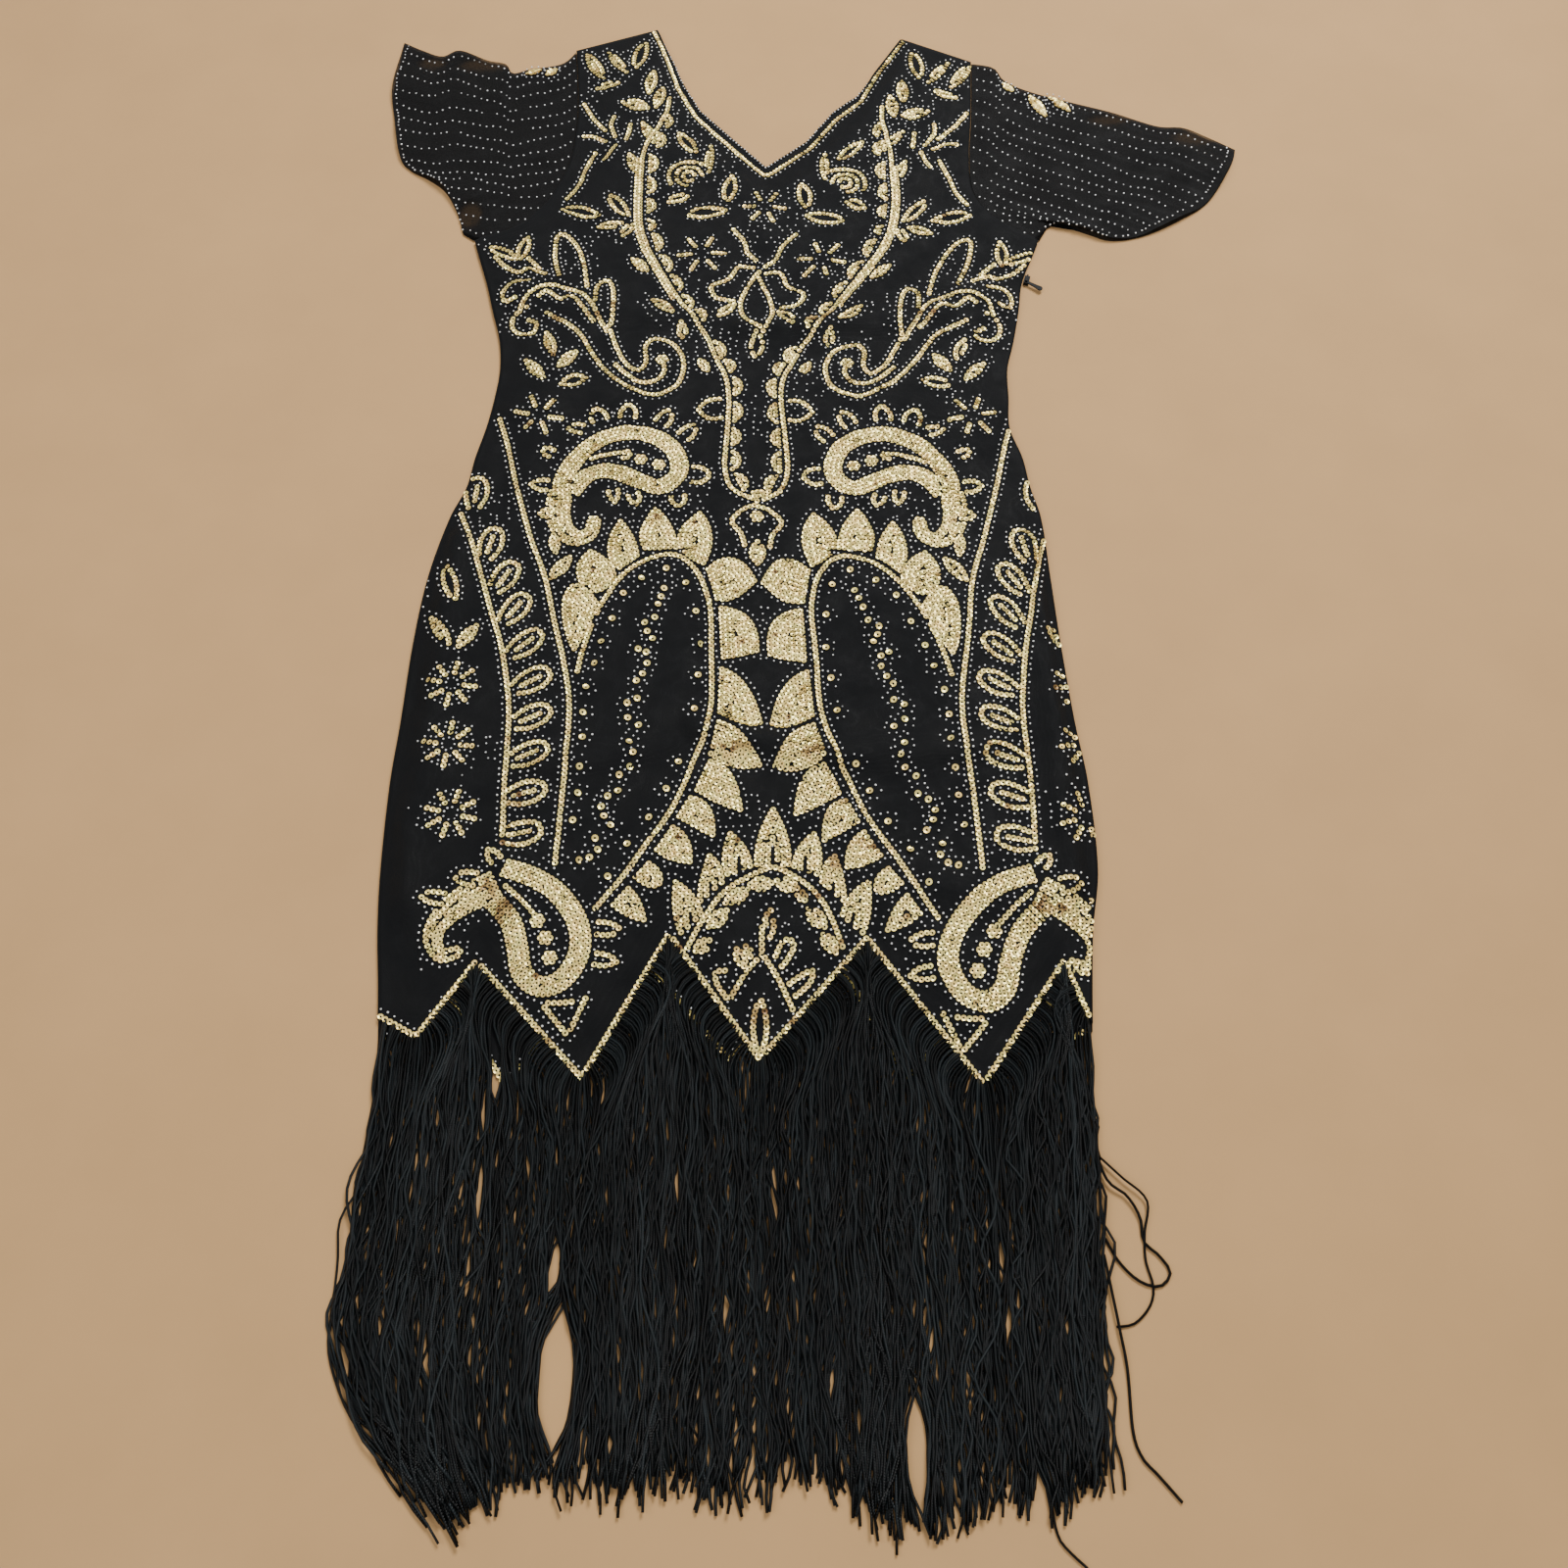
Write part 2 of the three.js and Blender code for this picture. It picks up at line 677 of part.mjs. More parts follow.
// The pull about its pin, pointing along +X: an eye, a waisted neck and a round end.
function zipPull() {
  const eye = PIN_RADIUS + EYE_CLEARANCE;
  const outer = eye + EYE_WALL;
  const shape = new THREE.Shape();
  const open = Math.asin(PULL_NECK / outer);
  shape.absarc(0, 0, outer, open, 2 * Math.PI - open, false);
  shape.quadraticCurveTo(PULL_LENGTH * 0.6, -PULL_NECK, PULL_LENGTH, -PULL_END_RADIUS);
  shape.absarc(PULL_LENGTH, 0, PULL_END_RADIUS, -Math.PI / 2, Math.PI / 2, false);
  shape.quadraticCurveTo(PULL_LENGTH * 0.6, PULL_NECK, outer * Math.cos(open), PULL_NECK);
  shape.holes.push(new THREE.Path().absarc(0, 0, eye, 0, 2 * Math.PI, true));
  return new THREE.ExtrudeGeometry(shape, {
    depth: PULL_THICKNESS,
    bevelEnabled: false,
    curveSegments: 8,
  });
}

function named(name, geometry, material) {
  const mesh = new THREE.Mesh(geometry, material);
  mesh.name = name;
  return mesh;
}

function zip() {
  const group = new THREE.Group();
  const clear = SLIDER.width / 2 + 4 * SEAM_GAP;
  const seam = edgeAt("right", ZIP_DOWN);
  const above = edgeAt("right", ZIP_DOWN - SLIDER.length);
  const below = edgeAt("right", ZIP_DOWN + SLIDER.length);
  const lean = Math.atan2(above - below, 2 * SLIDER.length);
  group.position.set(seam + clear, -ZIP_DOWN, 0);
  const slider = named("zip_slider", zipSlider(), lacquer);
  slider.rotation.z = -lean;
  const pull = named("zip_pull", zipPull(), lacquer);
  pull.rotation.z = THREE.MathUtils.degToRad(PULL_ANGLE);
  pull.position.z = PULL_BOTTOM;
  group.add(slider, pull);
  return group;
}

const dress = new THREE.Group();
dress.add(
  named("front_panel", frontPanel(), beaded),
  named("back_panel", backPanel(), beaded),
  named("sleeve_left", sleeve("left"), sheer),
  named("sleeve_right", sleeve("right"), sheer),
  named("fringe_front", frontFringe(), cord),
  named("fringe_back", backFringe(), cord),
  zip(),
);

// The frame's origin is on the floor under the middle of the dress's box.
const middle = new THREE.Box3().setFromObject(dress).getCenter(new THREE.Vector3());
dress.position.set(-middle.x, -middle.y, 0);

const root = new THREE.Group();
root.add(dress);
export default root;
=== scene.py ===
"""A flapper dress laid flat: its cloth, sequins, beads, cord fringe and side zip.

Pattern places are x from the centre front and down from the neck, in millimetres.
"""

import math

import bmesh
import bpy
import numpy as np
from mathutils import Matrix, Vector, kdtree

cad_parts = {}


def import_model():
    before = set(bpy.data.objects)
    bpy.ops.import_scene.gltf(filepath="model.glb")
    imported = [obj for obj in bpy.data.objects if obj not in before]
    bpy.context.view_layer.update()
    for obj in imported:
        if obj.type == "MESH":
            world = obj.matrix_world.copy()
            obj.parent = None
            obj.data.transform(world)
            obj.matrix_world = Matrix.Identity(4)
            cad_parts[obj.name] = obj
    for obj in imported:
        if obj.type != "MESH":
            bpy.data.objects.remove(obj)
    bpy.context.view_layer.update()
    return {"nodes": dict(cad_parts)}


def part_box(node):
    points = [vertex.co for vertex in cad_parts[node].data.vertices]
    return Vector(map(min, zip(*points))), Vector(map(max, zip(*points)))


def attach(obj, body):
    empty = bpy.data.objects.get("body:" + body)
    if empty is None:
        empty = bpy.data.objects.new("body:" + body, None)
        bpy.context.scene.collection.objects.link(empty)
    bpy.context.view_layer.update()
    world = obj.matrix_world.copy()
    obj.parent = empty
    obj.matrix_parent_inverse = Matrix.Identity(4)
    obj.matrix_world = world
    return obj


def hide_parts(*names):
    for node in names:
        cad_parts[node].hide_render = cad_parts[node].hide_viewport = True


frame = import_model()

bl_info = {
    "name": "Flapper dress",
    "version": (1, 0, 0),
    "blender": (4, 5, 0),
    "location": "3D View > Sidebar > Flapper dress",
    "description": "Dresses the packed frame of a beaded flapper dress that lies flat",
    "category": "Object",
}

MM = 0.001
# The frame's place of the pattern's origin, from the two nodes whose pattern places are known.
OFFSET_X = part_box("sleeve_right")[1][0] / MM - 406
OFFSET_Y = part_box("front_panel")[1][1] / MM - 2

FRONT_TOP = 3.3  # height of the front's face at its edges
BACK_TOP = 1.5
ARMPIT = 256

# down, left x, right x
ARMHOLES = [
    (20, -172, 184),
    (60, -168, 182),
    (110, -165, 179),
    (160, -168, 175),
    (200, -179, 176),
    (225, -194, 188),
    (243, -212, 208),
    (ARMPIT, -243, 228),
]
SIDES = [
    (ARMPIT, -243, 228),
    (270, -239, 223),
    (303, -229, 211),
    (335, -221, 206),
    (366, -213, 200),
    (396, -210, 193),
    (426, -212, 192),
    (455, -216, 191),
    (484, -222, 199),
    (512, -226, 203),
    (540, -236, 209),
    (593, -247, 212),
    (650, -252, 215),
    (717, -254, 220),
    (763, -256, 225),
    (829, -255, 226),
    (872, -252, 219),
    (912, -247, 215),
    (950, -243, 212),
]
# x, down
UPPER_EDGE = [
    (-172, 26), (-99, -2), (-86, 36), (-74, 76), (-58, 110), (-38, 134), (0, 179), (35, 148),
    (58, 112), (80, 90), (95, 56), (121, 10), (184, 41),
]
HEM = [
    (-243, 934), (-219, 947), (-185, 896), (-112, 974), (-60, 877), (0, 962), (70, 880), (141, 978),
    (198, 896), (212, 936),
]
BACK_SHIFT = -19
BACK_HEM = [(-243, 962), *[(BACK_SHIFT - x, down) for x, down in HEM[:0:-1]], (212, 941)]
NECK_HALF_WIDTH = 100
BACK_NECK_RISE = 9
BACK_NECK_TAPER = 30

# The front's largest creases as ridges: x0, down0, x1, down1, rise, spread
FOLDS = [
    (-165, 332, -45, 349, 3.5, 11),
    (-15, 357, 105, 352, 5, 11),
    (70, 333, 172, 345, 3, 10),
    (-205, 322, -150, 298, 3, 11),
    (185, 330, 128, 300, 3, 11),
    (-195, 440, -120, 424, 2.5, 12),
    (95, 430, 176, 452, 2.5, 12),
    (-150, 752, -66, 738, 3.5, 11),
    (-45, 722, 55, 747, 5.5, 11),
    (70, 742, 168, 738, 3.5, 10),
    (-228, 560, -238, 850, 4, 11),
    (199, 566, 208, 845, 5, 10),
    (-176, 812, -160, 866, 4, 10),
    (118, 842, 172, 858, 3, 11),
]
# Finer creases, uneven as the net lies: troughs have a rise below zero.
CREASES = [
    (-232, 268, -196, 296, 1.1, 5),
    (-214, 330, -176, 372, -0.9, 6),
    (-206, 392, -150, 404, 1.0, 5),
    (-200, 470, -196, 540, -0.8, 6),
    (-238, 600, -214, 690, 1.1, 6),
    (-246, 700, -205, 742, -1.0, 7),
    (-247, 780, -228, 872, 1.2, 6),
    (-120, 334, -84, 322, -0.9, 6),
    (12, 330, 44, 372, 0.9, 6),
    (-30, 430, 6, 446, -0.8, 8),
    (-100, 660, -70, 716, 0.7, 9),
    (84, 668, 112, 704, -0.7, 9),
    (-60, 745, 30, 762, -1.2, 6),
    (40, 756, 96, 764, -1.0, 6),
    (-24, 706, 20, 722, -0.9, 6),
    (130, 250, 168, 226, 0.8, 6),
    (190, 262, 212, 300, 1.2, 5),
    (160, 372, 190, 398, -0.9, 6),
    (148, 500, 190, 520, 0.8, 7),
    (192, 600, 203, 668, -1.0, 5),
    (206, 690, 216, 776, 1.4, 5),
    (194, 788, 214, 862, -1.1, 5),
    (150, 862, 196, 876, 0.9, 6),
    (-60, 236, -28, 244, 0.7, 7),
    (-150, 232, -196, 246, 0.9, 6),
]
SWELL = 3.5
SWELL_MARGIN = 45
FOLD_MARGIN = 10

# The sleeves: the folded top edge, the cuff, and folds as across, rise, spread
SLEEVES = {
    "left": {
        "top": [
            (-184, 41), (-212, 48), (-227, 53), (-234, 41), (-251, 36), (-277, 23), (-292, 31),
            (-311, 23),
        ],
        "cuff": [
            (-328, 13), (-330, 50), (-331, 82), (-325, 116), (-316, 158), (-305, 174), (-288, 185),
            (-273, 199), (-261, 223), (-253, 249),
        ],
        "folds": [(0.2, 3.5, 0.09), (0.47, 2.5, 0.1), (0.76, 4, 0.08)],
    },
    "right": {
        "top": [
            (203, 46), (212, 63), (234, 77), (268, 90), (304, 103), (341, 120), (364, 122), (383, 133),
        ],
        "cuff": [
            (406, 149), (400, 168), (376, 210), (350, 231), (316, 250), (289, 255), (270, 247),
            (251, 235), (237, 240),
        ],
        "folds": [(0.16, 3, 0.08), (0.5, 2.5, 0.1), (0.83, 4.5, 0.08)],
    },
}
SLEEVE_HEIGHT = 2.6

# Where the two halves of the embroidery mirror: down, centre x, how much lower the right is
CENTRE_LINE = [
    (0, 11, 14),
    (60, 9, 12),
    (105, 6.5, 11),
    (150, 1, 9),
    (200, 1, 7.5),
    (250, -1.5, 6),
    (300, -6, 8),
    (350, -7.5, 7),
    (400, -8, 2),
    (450, -6.5, 1.5),
    (545, -5, 1.5),
    (590, -3.3, 1.5),
    (650, 0.5, 3),
    (700, 2.5, 1.5),
    (750, 4, 1),
    (800, 5, 4),
    (830, 5, 4),
    (860, 3.5, 7),
    (890, 2, 9),
    (930, 3, 11),
]


# The camera over the pattern, in mm: its foot and its height
EYE = (15.5, 1250)
EYE_HEIGHT = 968
CAMERA_TILT = 26.7  # degrees from straight down
LENS = 36  # as wide as its sensor
FLOOR_HALF_SIZE = 4
REAL_RISE = 1.5  # how much higher the real front lies than the laid solids


def length_property(name, description, default):
    return bpy.props.FloatProperty(
        name=name,
        description=description,
        default=default,
        unit="LENGTH",
        subtype="DISTANCE",
    )


class DressSizes(bpy.types.PropertyGroup):
    """Sizes of what is sewn on the cloth, and of the cloth's own wall."""

    panel_wall: length_property("Panel wall", "Thickness of a net panel with its lining", 0.0012)
    sequin_diameter: length_property("Sequin diameter", "Diameter of a cupped sequin", 0.004)
    sequin_pitch: length_property("Sequin pitch", "From sequin to sequin along a row", 0.0036)
    bead_diameter: length_property("Bead diameter", "Diameter of a seed bead", 0.0017)
    bead_pitch: length_property("Bead pitch", "From bead to bead round a motif", 0.0052)
    cord_diameter: length_property("Cord diameter", "Diameter of a twisted fringe cord", 0.0018)
    cord_length: length_property("Cord length", "Length that a cord's twist is laid over", 0.287)
    cords: bpy.props.IntProperty(
        name="Cords on a hem",
        description="How many cords are sewn along each hem",
        default=440,
    )


def colour_property(name, description, default):
    return bpy.props.FloatVectorProperty(
        name=name,
        description=description,
        default=default,
        size=4,
        subtype="COLOR",
        min=0,
        max=1,
    )


class DressColours(bpy.types.PropertyGroup):
    """Colours of the cloth, the trims and the floor."""

    net: colour_property("Net", "Black net over its lining", (0.0016, 0.0018, 0.0022, 1))
    sheer: colour_property("Sheer net", "Net of the sleeves", (0.0022, 0.0021, 0.0022, 1))
    gold: colour_property("Sequins", "Pale gold foil", (1, 0.71, 0.23, 1))
    # The bronze serves sequins that lost their foil and also the painted shade on sequins in the
    # folds.
    bronze: colour_property("Worn and shaded sequins", "Sequins that lost their foil, and painted shade on sequins in folds", (0.16, 0.08, 0.025, 1))
    bead: colour_property("Beads", "Silver-lined glass", (0.93, 0.93, 0.92, 1))
    cord: colour_property("Cord", "Twisted rayon cord", (0.0018, 0.0024, 0.0027, 1))
    lacquer: colour_property("Zip", "Black lacquer on the zip", (0.011, 0.011, 0.012, 1))
    floor: colour_property("Floor", "Plain pale floor", (0.51, 0.3, 0.125, 1))


def sizes():
    return bpy.context.scene.dress_sizes


def in_mm(key):
    """One of the sizes, in millimetres."""
    return getattr(sizes(), key) / MM


def colours():
    return bpy.context.scene.dress_colours


def ease(t):
    t = np.clip(t, 0, 1)
    return t * t * (3 - 2 * t)


def mix(a, b, t):
    return a + (b - a) * t


def straight(rows, at, column=1):
    """A table's column read at places of its first column."""
    table = np.array(rows, float)
    return np.interp(at, table[:, 0], table[:, column])


def smooth(rows, at, column=1):
    """The same on a smooth curve through the rows, as the solids have it."""
    table = np.array(rows, float)
    key, value = table[:, 0], table[:, column]
    at = np.asarray(at, float)
    last = len(key) - 1
    before = np.maximum(np.arange(last + 1) - 1, 0)
    after = np.minimum(np.arange(last + 1) + 1, last)
    slope = (value[after] - value[before]) / (key[after] - key[before])
    i = np.clip(np.searchsorted(key, at, side="right") - 1, 0, last - 1)
    span = key[i + 1] - key[i]
    t = np.clip((at - key[i]) / span, 0, 1)
    u = 1 - t
    return (
        value[i] * u * u * (1 + 2 * t)
        + value[i + 1] * t * t * (3 - 2 * t)
        + slope[i] * span * t * u * u
        - slope[i + 1] * span * t * t * u
    )


def edge_at(side, down):
    column = 1 if side == "left" else 2
    down = np.asarray(down, float)
    upper = smooth(ARMHOLES, down, column)
    return np.where(down < ARMPIT, upper, smooth(SIDES, down, column))


def front_top(x):
    return straight(UPPER_EDGE, x)


def back_top(x):
    return front_top(x) - BACK_NECK_RISE * ease((NECK_HALF_WIDTH - np.abs(x)) / BACK_NECK_TAPER)


def distance_to_stretch(stretch, x, down):
    x0, down0, x1, down1 = stretch[:4]
    way = np.array([x1 - x0, down1 - down0], float)
    t = np.clip(((x - x0) * way[0] + (down - down0) * way[1]) / (way @ way), 0, 1)
    return np.hypot(x - x0 - t * way[0], down - down0 - t * way[1])


# Small unevenness of the lined net: wavelength in mm, angle, height in mm, phase
PUCKERS = [
    (31, 0.3, 0.22, 0.4),
    (23, 1.2, 0.2, 1.9),
    (17, 2.1, 0.16, 4.1),
    (13, 0.8, 0.1, 2.2),
    (11, 2.7, 0.09, 5.0),
]


def puckers(x, down):
    height = np.zeros(np.shape(x))
    for length, angle, rise, phase in PUCKERS:
        along = x * math.cos(angle) + down * math.sin(angle)
        drift = 2.2 * np.sin((x * math.sin(angle) - down * math.cos(angle)) / (2.7 * length))
        height = height + rise * np.sin(2 * math.pi * along / length + phase + drift)
    return height


def front_height(x, down):
    """Height of the front's face in mm."""
    x, down = np.asarray(x, float), np.asarray(down, float)
    inside = np.minimum.reduce(
        [
            x - edge_at("left", down),
            edge_at("right", down) - x,
            down - front_top(x),
            straight(HEM, x) - down,
        ]
    )
    lift = SWELL * ease(inside / SWELL_MARGIN)
    margin = ease(inside / FOLD_MARGIN)
    for fold in FOLDS + CREASES:
        d = distance_to_stretch(fold, x, down) / fold[5]
        lift = lift + fold[4] * np.exp(-d * d) * margin
    lift = lift + puckers(x, down) * margin
    return FRONT_TOP + np.maximum(lift, 0)


def world(x, down, height):
    """Pattern places and heights in mm as places in the frame, in metres."""
    return np.stack([(x + OFFSET_X) * MM, (OFFSET_Y - down) * MM, height * MM], axis=-1)


def generator(seed):
    return np.random.default_rng(seed)


def grid_cloth(name, columns, rows, place, tube=False):
    """A sheet from a flat grid. place turns across and along, 0 to 1, into places."""
    bm = bmesh.new()
    bmesh.ops.create_grid(bm, x_segments=columns, y_segments=rows, size=1)
    flat = np.array([vertex.co for vertex in bm.verts])
    across = (flat[:, 0] - flat[:, 0].min()) / np.ptp(flat[:, 0])
    along = (flat[:, 1].max() - flat[:, 1]) / np.ptp(flat[:, 1])
    for vertex, point in zip(bm.verts, place(across, along)):
        vertex.co = point
    if tube:
        bmesh.ops.remove_doubles(bm, verts=bm.verts, dist=1e-6)
        bmesh.ops.recalc_face_normals(bm, faces=bm.faces)
    mesh = bpy.data.meshes.new(name)
    bm.to_mesh(mesh)
    bm.free()
    mesh.shade_smooth()
    return mesh


def stamped(name, template, places, attributes=None, uvs=None):
    """One mesh of many copies of a small bmesh, copy i at places[i]."""
    template.verts.index_update()
    faces = [[v.index for v in face.verts] for face in template.faces]
    count, size = places.shape[:2]
    sides = np.array([len(face) for face in faces])
    loops = np.concatenate([np.array(face) for face in faces])
    mesh = bpy.data.meshes.new(name)
    mesh.vertices.add(count * size)
    mesh.vertices.foreach_set("co", places.reshape(-1).astype(np.float32))
    mesh.loops.add(count * len(loops))
    shift = np.repeat(np.arange(count) * size, len(loops))
    mesh.loops.foreach_set("vertex_index", np.tile(loops, count) + shift)
    mesh.polygons.add(count * len(faces))
    starts = np.concatenate([[0], np.cumsum(np.tile(sides, count))[:-1]])
    mesh.polygons.foreach_set("loop_start", starts)
    for key, values in (attributes or {}).items():
        layer = mesh.attributes.new(key, "FLOAT", "POINT")
        layer.data.foreach_set("value", np.repeat(values, size).astype(np.float32))
    if uvs is not None:
        layer = mesh.uv_layers.new(name="UVMap")
        layer.uv.foreach_set("vector", np.tile(uvs, (count, 1)).reshape(-1).astype(np.float32))
    mesh.update(calc_edges=True)
    mesh.validate()
    mesh.shade_smooth()
    return mesh


def add_piece(name, mesh, material, body="dress"):
    piece = bpy.data.objects.new(name, mesh)
    bpy.context.scene.collection.objects.link(piece)
    mesh.materials.clear()
    mesh.materials.append(material)
    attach(piece, body)
    return piece


def thicken(piece, wall):
    solid = piece.modifiers.new("Wall", "SOLIDIFY")
    solid.thickness = wall
    solid.offset = -1
    solid.use_rim = True


def new_group(name, inputs, outputs):
    group = bpy.data.node_groups.new(name, "ShaderNodeTree")
    for key, kind, default in inputs:
        socket = group.interface.new_socket(key, in_out="INPUT", socket_type=kind)
        if default is not None:
            socket.default_value = default
    for key, kind in outputs:
        group.interface.new_socket(key, in_out="OUTPUT", socket_type=kind)
    return group


def node(tree, kind, links=None, **settings):
    """A new shader node, with a link or a constant for each socket in links."""
    made = tree.nodes.new(kind)
    for key, value in settings.items():
        setattr(made, key, value)
    for socket, source in (links or {}).items():
        if hasattr(source, "is_output"):
            tree.links.new(source, made.inputs[socket])
        else:
            made.inputs[socket].default_value = source
    return made


def math_node(tree, operation, *terms, clamp=False):
    links = dict(enumerate(terms))
    return node(tree, "ShaderNodeMath", links, operation=operation, use_clamp=clamp).outputs[0]


def mapped(tree, value, low, high, start=0.0, end=1.0):
    """A value between start and end, turned into one between low and high."""
    links = {"Value": value, "From Min": start, "From Max": end, "To Min": low, "To Max": high}
    return node(tree, "ShaderNodeMapRange", links).outputs["Result"]


def noise(tree, scale, detail, roughness=0.5):
    """Noise that lies still in the piece's own space."""
    place = node(tree, "ShaderNodeTexCoord").outputs["Object"]
    links = {"Vector": place, "Scale": scale, "Detail": detail, "Roughness": roughness}
    return node(tree, "ShaderNodeTexNoise", links).outputs["Fac"]


def attribute(tree, name):
    return node(tree, "ShaderNodeAttribute", attribute_name=name).outputs["Fac"]


def ramp(tree, value, stops):
    """A colour for each value, on a ramp through stops of position and colour."""
    made = node(tree, "ShaderNodeValToRGB", {"Fac": value})
    elements = made.color_ramp.elements
    elements[0].position, elements[0].color = stops[0]
    elements[1].position, elements[1].color = stops[-1]
    for position, colour in stops[1:-1]:
        elements.new(position).color = colour
    return made.outputs["Color"]


NET_PITCH = 0.0009


def weave_group():
    """Fine net: threads that cross at an even pitch, with a slow variation of tone."""
    inputs = [
        ("Pitch", "NodeSocketFloat", NET_PITCH),
        ("Dark", "NodeSocketColor", (0, 0, 0, 1)),
        ("Light", "NodeSocketColor", (0, 0, 0, 1)),
    ]
    outputs = [
        ("Color", "NodeSocketColor"),
        ("Thread", "NodeSocketFloat"),
        ("Tone", "NodeSocketFloat"),
    ]
    group = new_group("net_weave", inputs, outputs)
    inside = group.nodes.new("NodeGroupInput").outputs
    place = node(group, "ShaderNodeTexCoord").outputs["Object"]
    scale = math_node(group, "DIVIDE", 1.0, inside["Pitch"])
    links = {"Vector": place, "Scale": scale, "Randomness": 0.35}
    grid = node(group, "ShaderNodeTexVoronoi", links, feature="DISTANCE_TO_EDGE")
    thread = mapped(group, grid.outputs["Distance"], 1.0, 0.0, start=0.02, end=0.22)
    tone = mapped(group, noise(group, 38.0, 4.0, 0.6), 0.0, 1.0, start=0.35, end=0.68)
    amount = math_node(group, "MULTIPLY_ADD", thread, 0.45, tone, clamp=True)
    # The mix node has its factor at socket 0, its colours at 6 and 7 and their mix at output 2.
    links = {0: amount, 6: inside["Dark"], 7: inside["Light"]}
    colour = node(group, "ShaderNodeMix", links, data_type="RGBA").outputs[2]
    end = group.nodes.new("NodeGroupOutput")
    for key, value in (("Color", colour), ("Thread", thread), ("Tone", tone)):
        group.links.new(value, end.inputs[key])
    return group


BUMP_HEIGHT = 0.0002
SHEER_PITCH = 0.0011
CORD_TWIST = 420.0  # turns of the ply in a metre
MIDDLE_TONE = 0.3


def shade(colour, factor):
    return tuple(min(c * factor, 1) for c in colour[:3]) + (1,)


def new_material(name):
    material = bpy.data.materials.new(name)
    material.use_nodes = True
    tree = material.node_tree
    return material, tree, tree.nodes["Principled BSDF"]


def bumped(tree, shader, height, strength):
    links = {"Height": height, "Strength": strength, "Distance": BUMP_HEIGHT}
    bump = node(tree, "ShaderNodeBump", links)
    tree.links.new(bump.outputs["Normal"], shader.inputs["Normal"])


def net_material(name, group, colour, pitch, sheen):
    material, tree, shader = new_material(name)
    weave = node(tree, "ShaderNodeGroup", node_tree=group)
    weave.inputs["Pitch"].default_value = pitch
    weave.inputs["Dark"].default_value = shade(colour, 0.7)
    weave.inputs["Light"].default_value = shade(colour, 1.6)
    tree.links.new(weave.outputs["Color"], shader.inputs["Base Color"])
    rough = mapped(tree, weave.outputs["Tone"], 0.62, 0.8)
    tree.links.new(rough, shader.inputs["Roughness"])
    shader.inputs["Sheen Weight"].default_value = sheen
    shader.inputs["Sheen Roughness"].default_value = 0.4
    shader.inputs["Specular IOR Level"].default_value = 0.14
    bumped(tree, shader, weave.outputs["Thread"], 0.5)
    return material, tree, shader, weave


def sheer_material(group):
    """See-through net: more of the floor shows between threads and where one layer lies alone."""
    made = net_material("sheer_black_net", group, colours().sheer, SHEER_PITCH, 0.04)
    material, tree, shader, weave = made
    opening = mapped(tree, weave.outputs["Thread"], 0.76, 0.95)
    thin = attribute(tree, "thin")
    alpha = math_node(tree, "MULTIPLY_ADD", thin, -0.28, opening, clamp=True)
    tree.links.new(alpha, shader.inputs["Alpha"])
    return material


def tone_material(name, stops, roughness, metallic, coat):
    """Many small trims in one mesh, each with a tone of its own."""
    material, tree, shader = new_material(name)
    tone = attribute(tree, "tone")
    tree.links.new(ramp(tree, tone, stops), shader.inputs["Base Color"])
    tree.links.new(mapped(tree, tone, *roughness), shader.inputs["Roughness"])
    shader.inputs["Metallic"].default_value = metallic
    shader.inputs["Coat Weight"].default_value = coat
    return material, tree, shader


def sequin_material():
    gold, bronze = colours().gold, colours().bronze
    # The ramp's bronze end is for sequins that lost their foil and for the painted shade in folds.
    stops = [(0.0, bronze[:]), (MIDDLE_TONE, shade(gold, 0.95)), (1.0, shade(gold, 1.22))]
    material, tree, shader = tone_material("gold_foil_sequin", stops, (0.45, 0.3), 0.6, 0.15)
    bumped(tree, shader, noise(tree, 900.0, 2.0), 0.25)
    return material


def bead_material():
    bead = colours().bead
    stops = [(0.0, shade(bead, 0.25)), (MIDDLE_TONE, shade(bead, 0.8)), (1.0, shade(bead, 1.15))]
    return tone_material("silver_lined_bead", stops, (0.3, 0.12), 0.25, 0.5)[0]


def cord_material():
    """Twisted cord: the ply winds round each cord's own length."""
    cord = colours().cord
    material, tree, shader = new_material("twisted_cord")
    uv = node(tree, "ShaderNodeUVMap", uv_map="UVMap").outputs["UV"]
    parts = node(tree, "ShaderNodeSeparateXYZ", {"Vector": uv})
    turn = math_node(tree, "MULTIPLY_ADD", parts.outputs["Y"], CORD_TWIST, parts.outputs["X"])
    doubled = math_node(tree, "MULTIPLY", turn, 4 * math.pi)
    ply = math_node(tree, "SINE", doubled)
    both = math_node(tree, "MULTIPLY_ADD", noise(tree, 60.0, 3.0), 0.5, attribute(tree, "tone"))
    # The ply also goes into the colour: a painted highlight along the twist's ridges, besides its
    # bump.
    tone_with_ply_highlight = math_node(tree, "MULTIPLY_ADD", ply, 0.09, both)
    # The ramp runs from very dark to many times lighter: cords differ in tone at random, and the
    # lighter ones are painted highlights.
    colour = ramp(tree, tone_with_ply_highlight, [(0.42, shade(cord, 0.3)), (1.0, shade(cord, 6.5))])
    tree.links.new(colour, shader.inputs["Base Color"])
    rough = mapped(tree, ply, 0.38, 0.24, start=-1.0)
    tree.links.new(rough, shader.inputs["Roughness"])
    bumped(tree, shader, ply, 0.6)
    shader.inputs["Specular IOR Level"].default_value = 0.21
    return material


def lacquer_material():
    lacquer = colours().lacquer
    material, tree, shader = new_material("black_lacquer")
    wear = noise(tree, 700.0, 3.0)
    colour = ramp(tree, wear, [(0.0, shade(lacquer, 0.4)), (1.0, shade(lacquer, 0.9))])
    tree.links.new(colour, shader.inputs["Base Color"])
    shader.inputs["Roughness"].default_value = 0.5
    shader.inputs["Specular IOR Level"].default_value = 0.12
    bumped(tree, shader, wear, 0.15)
    return material


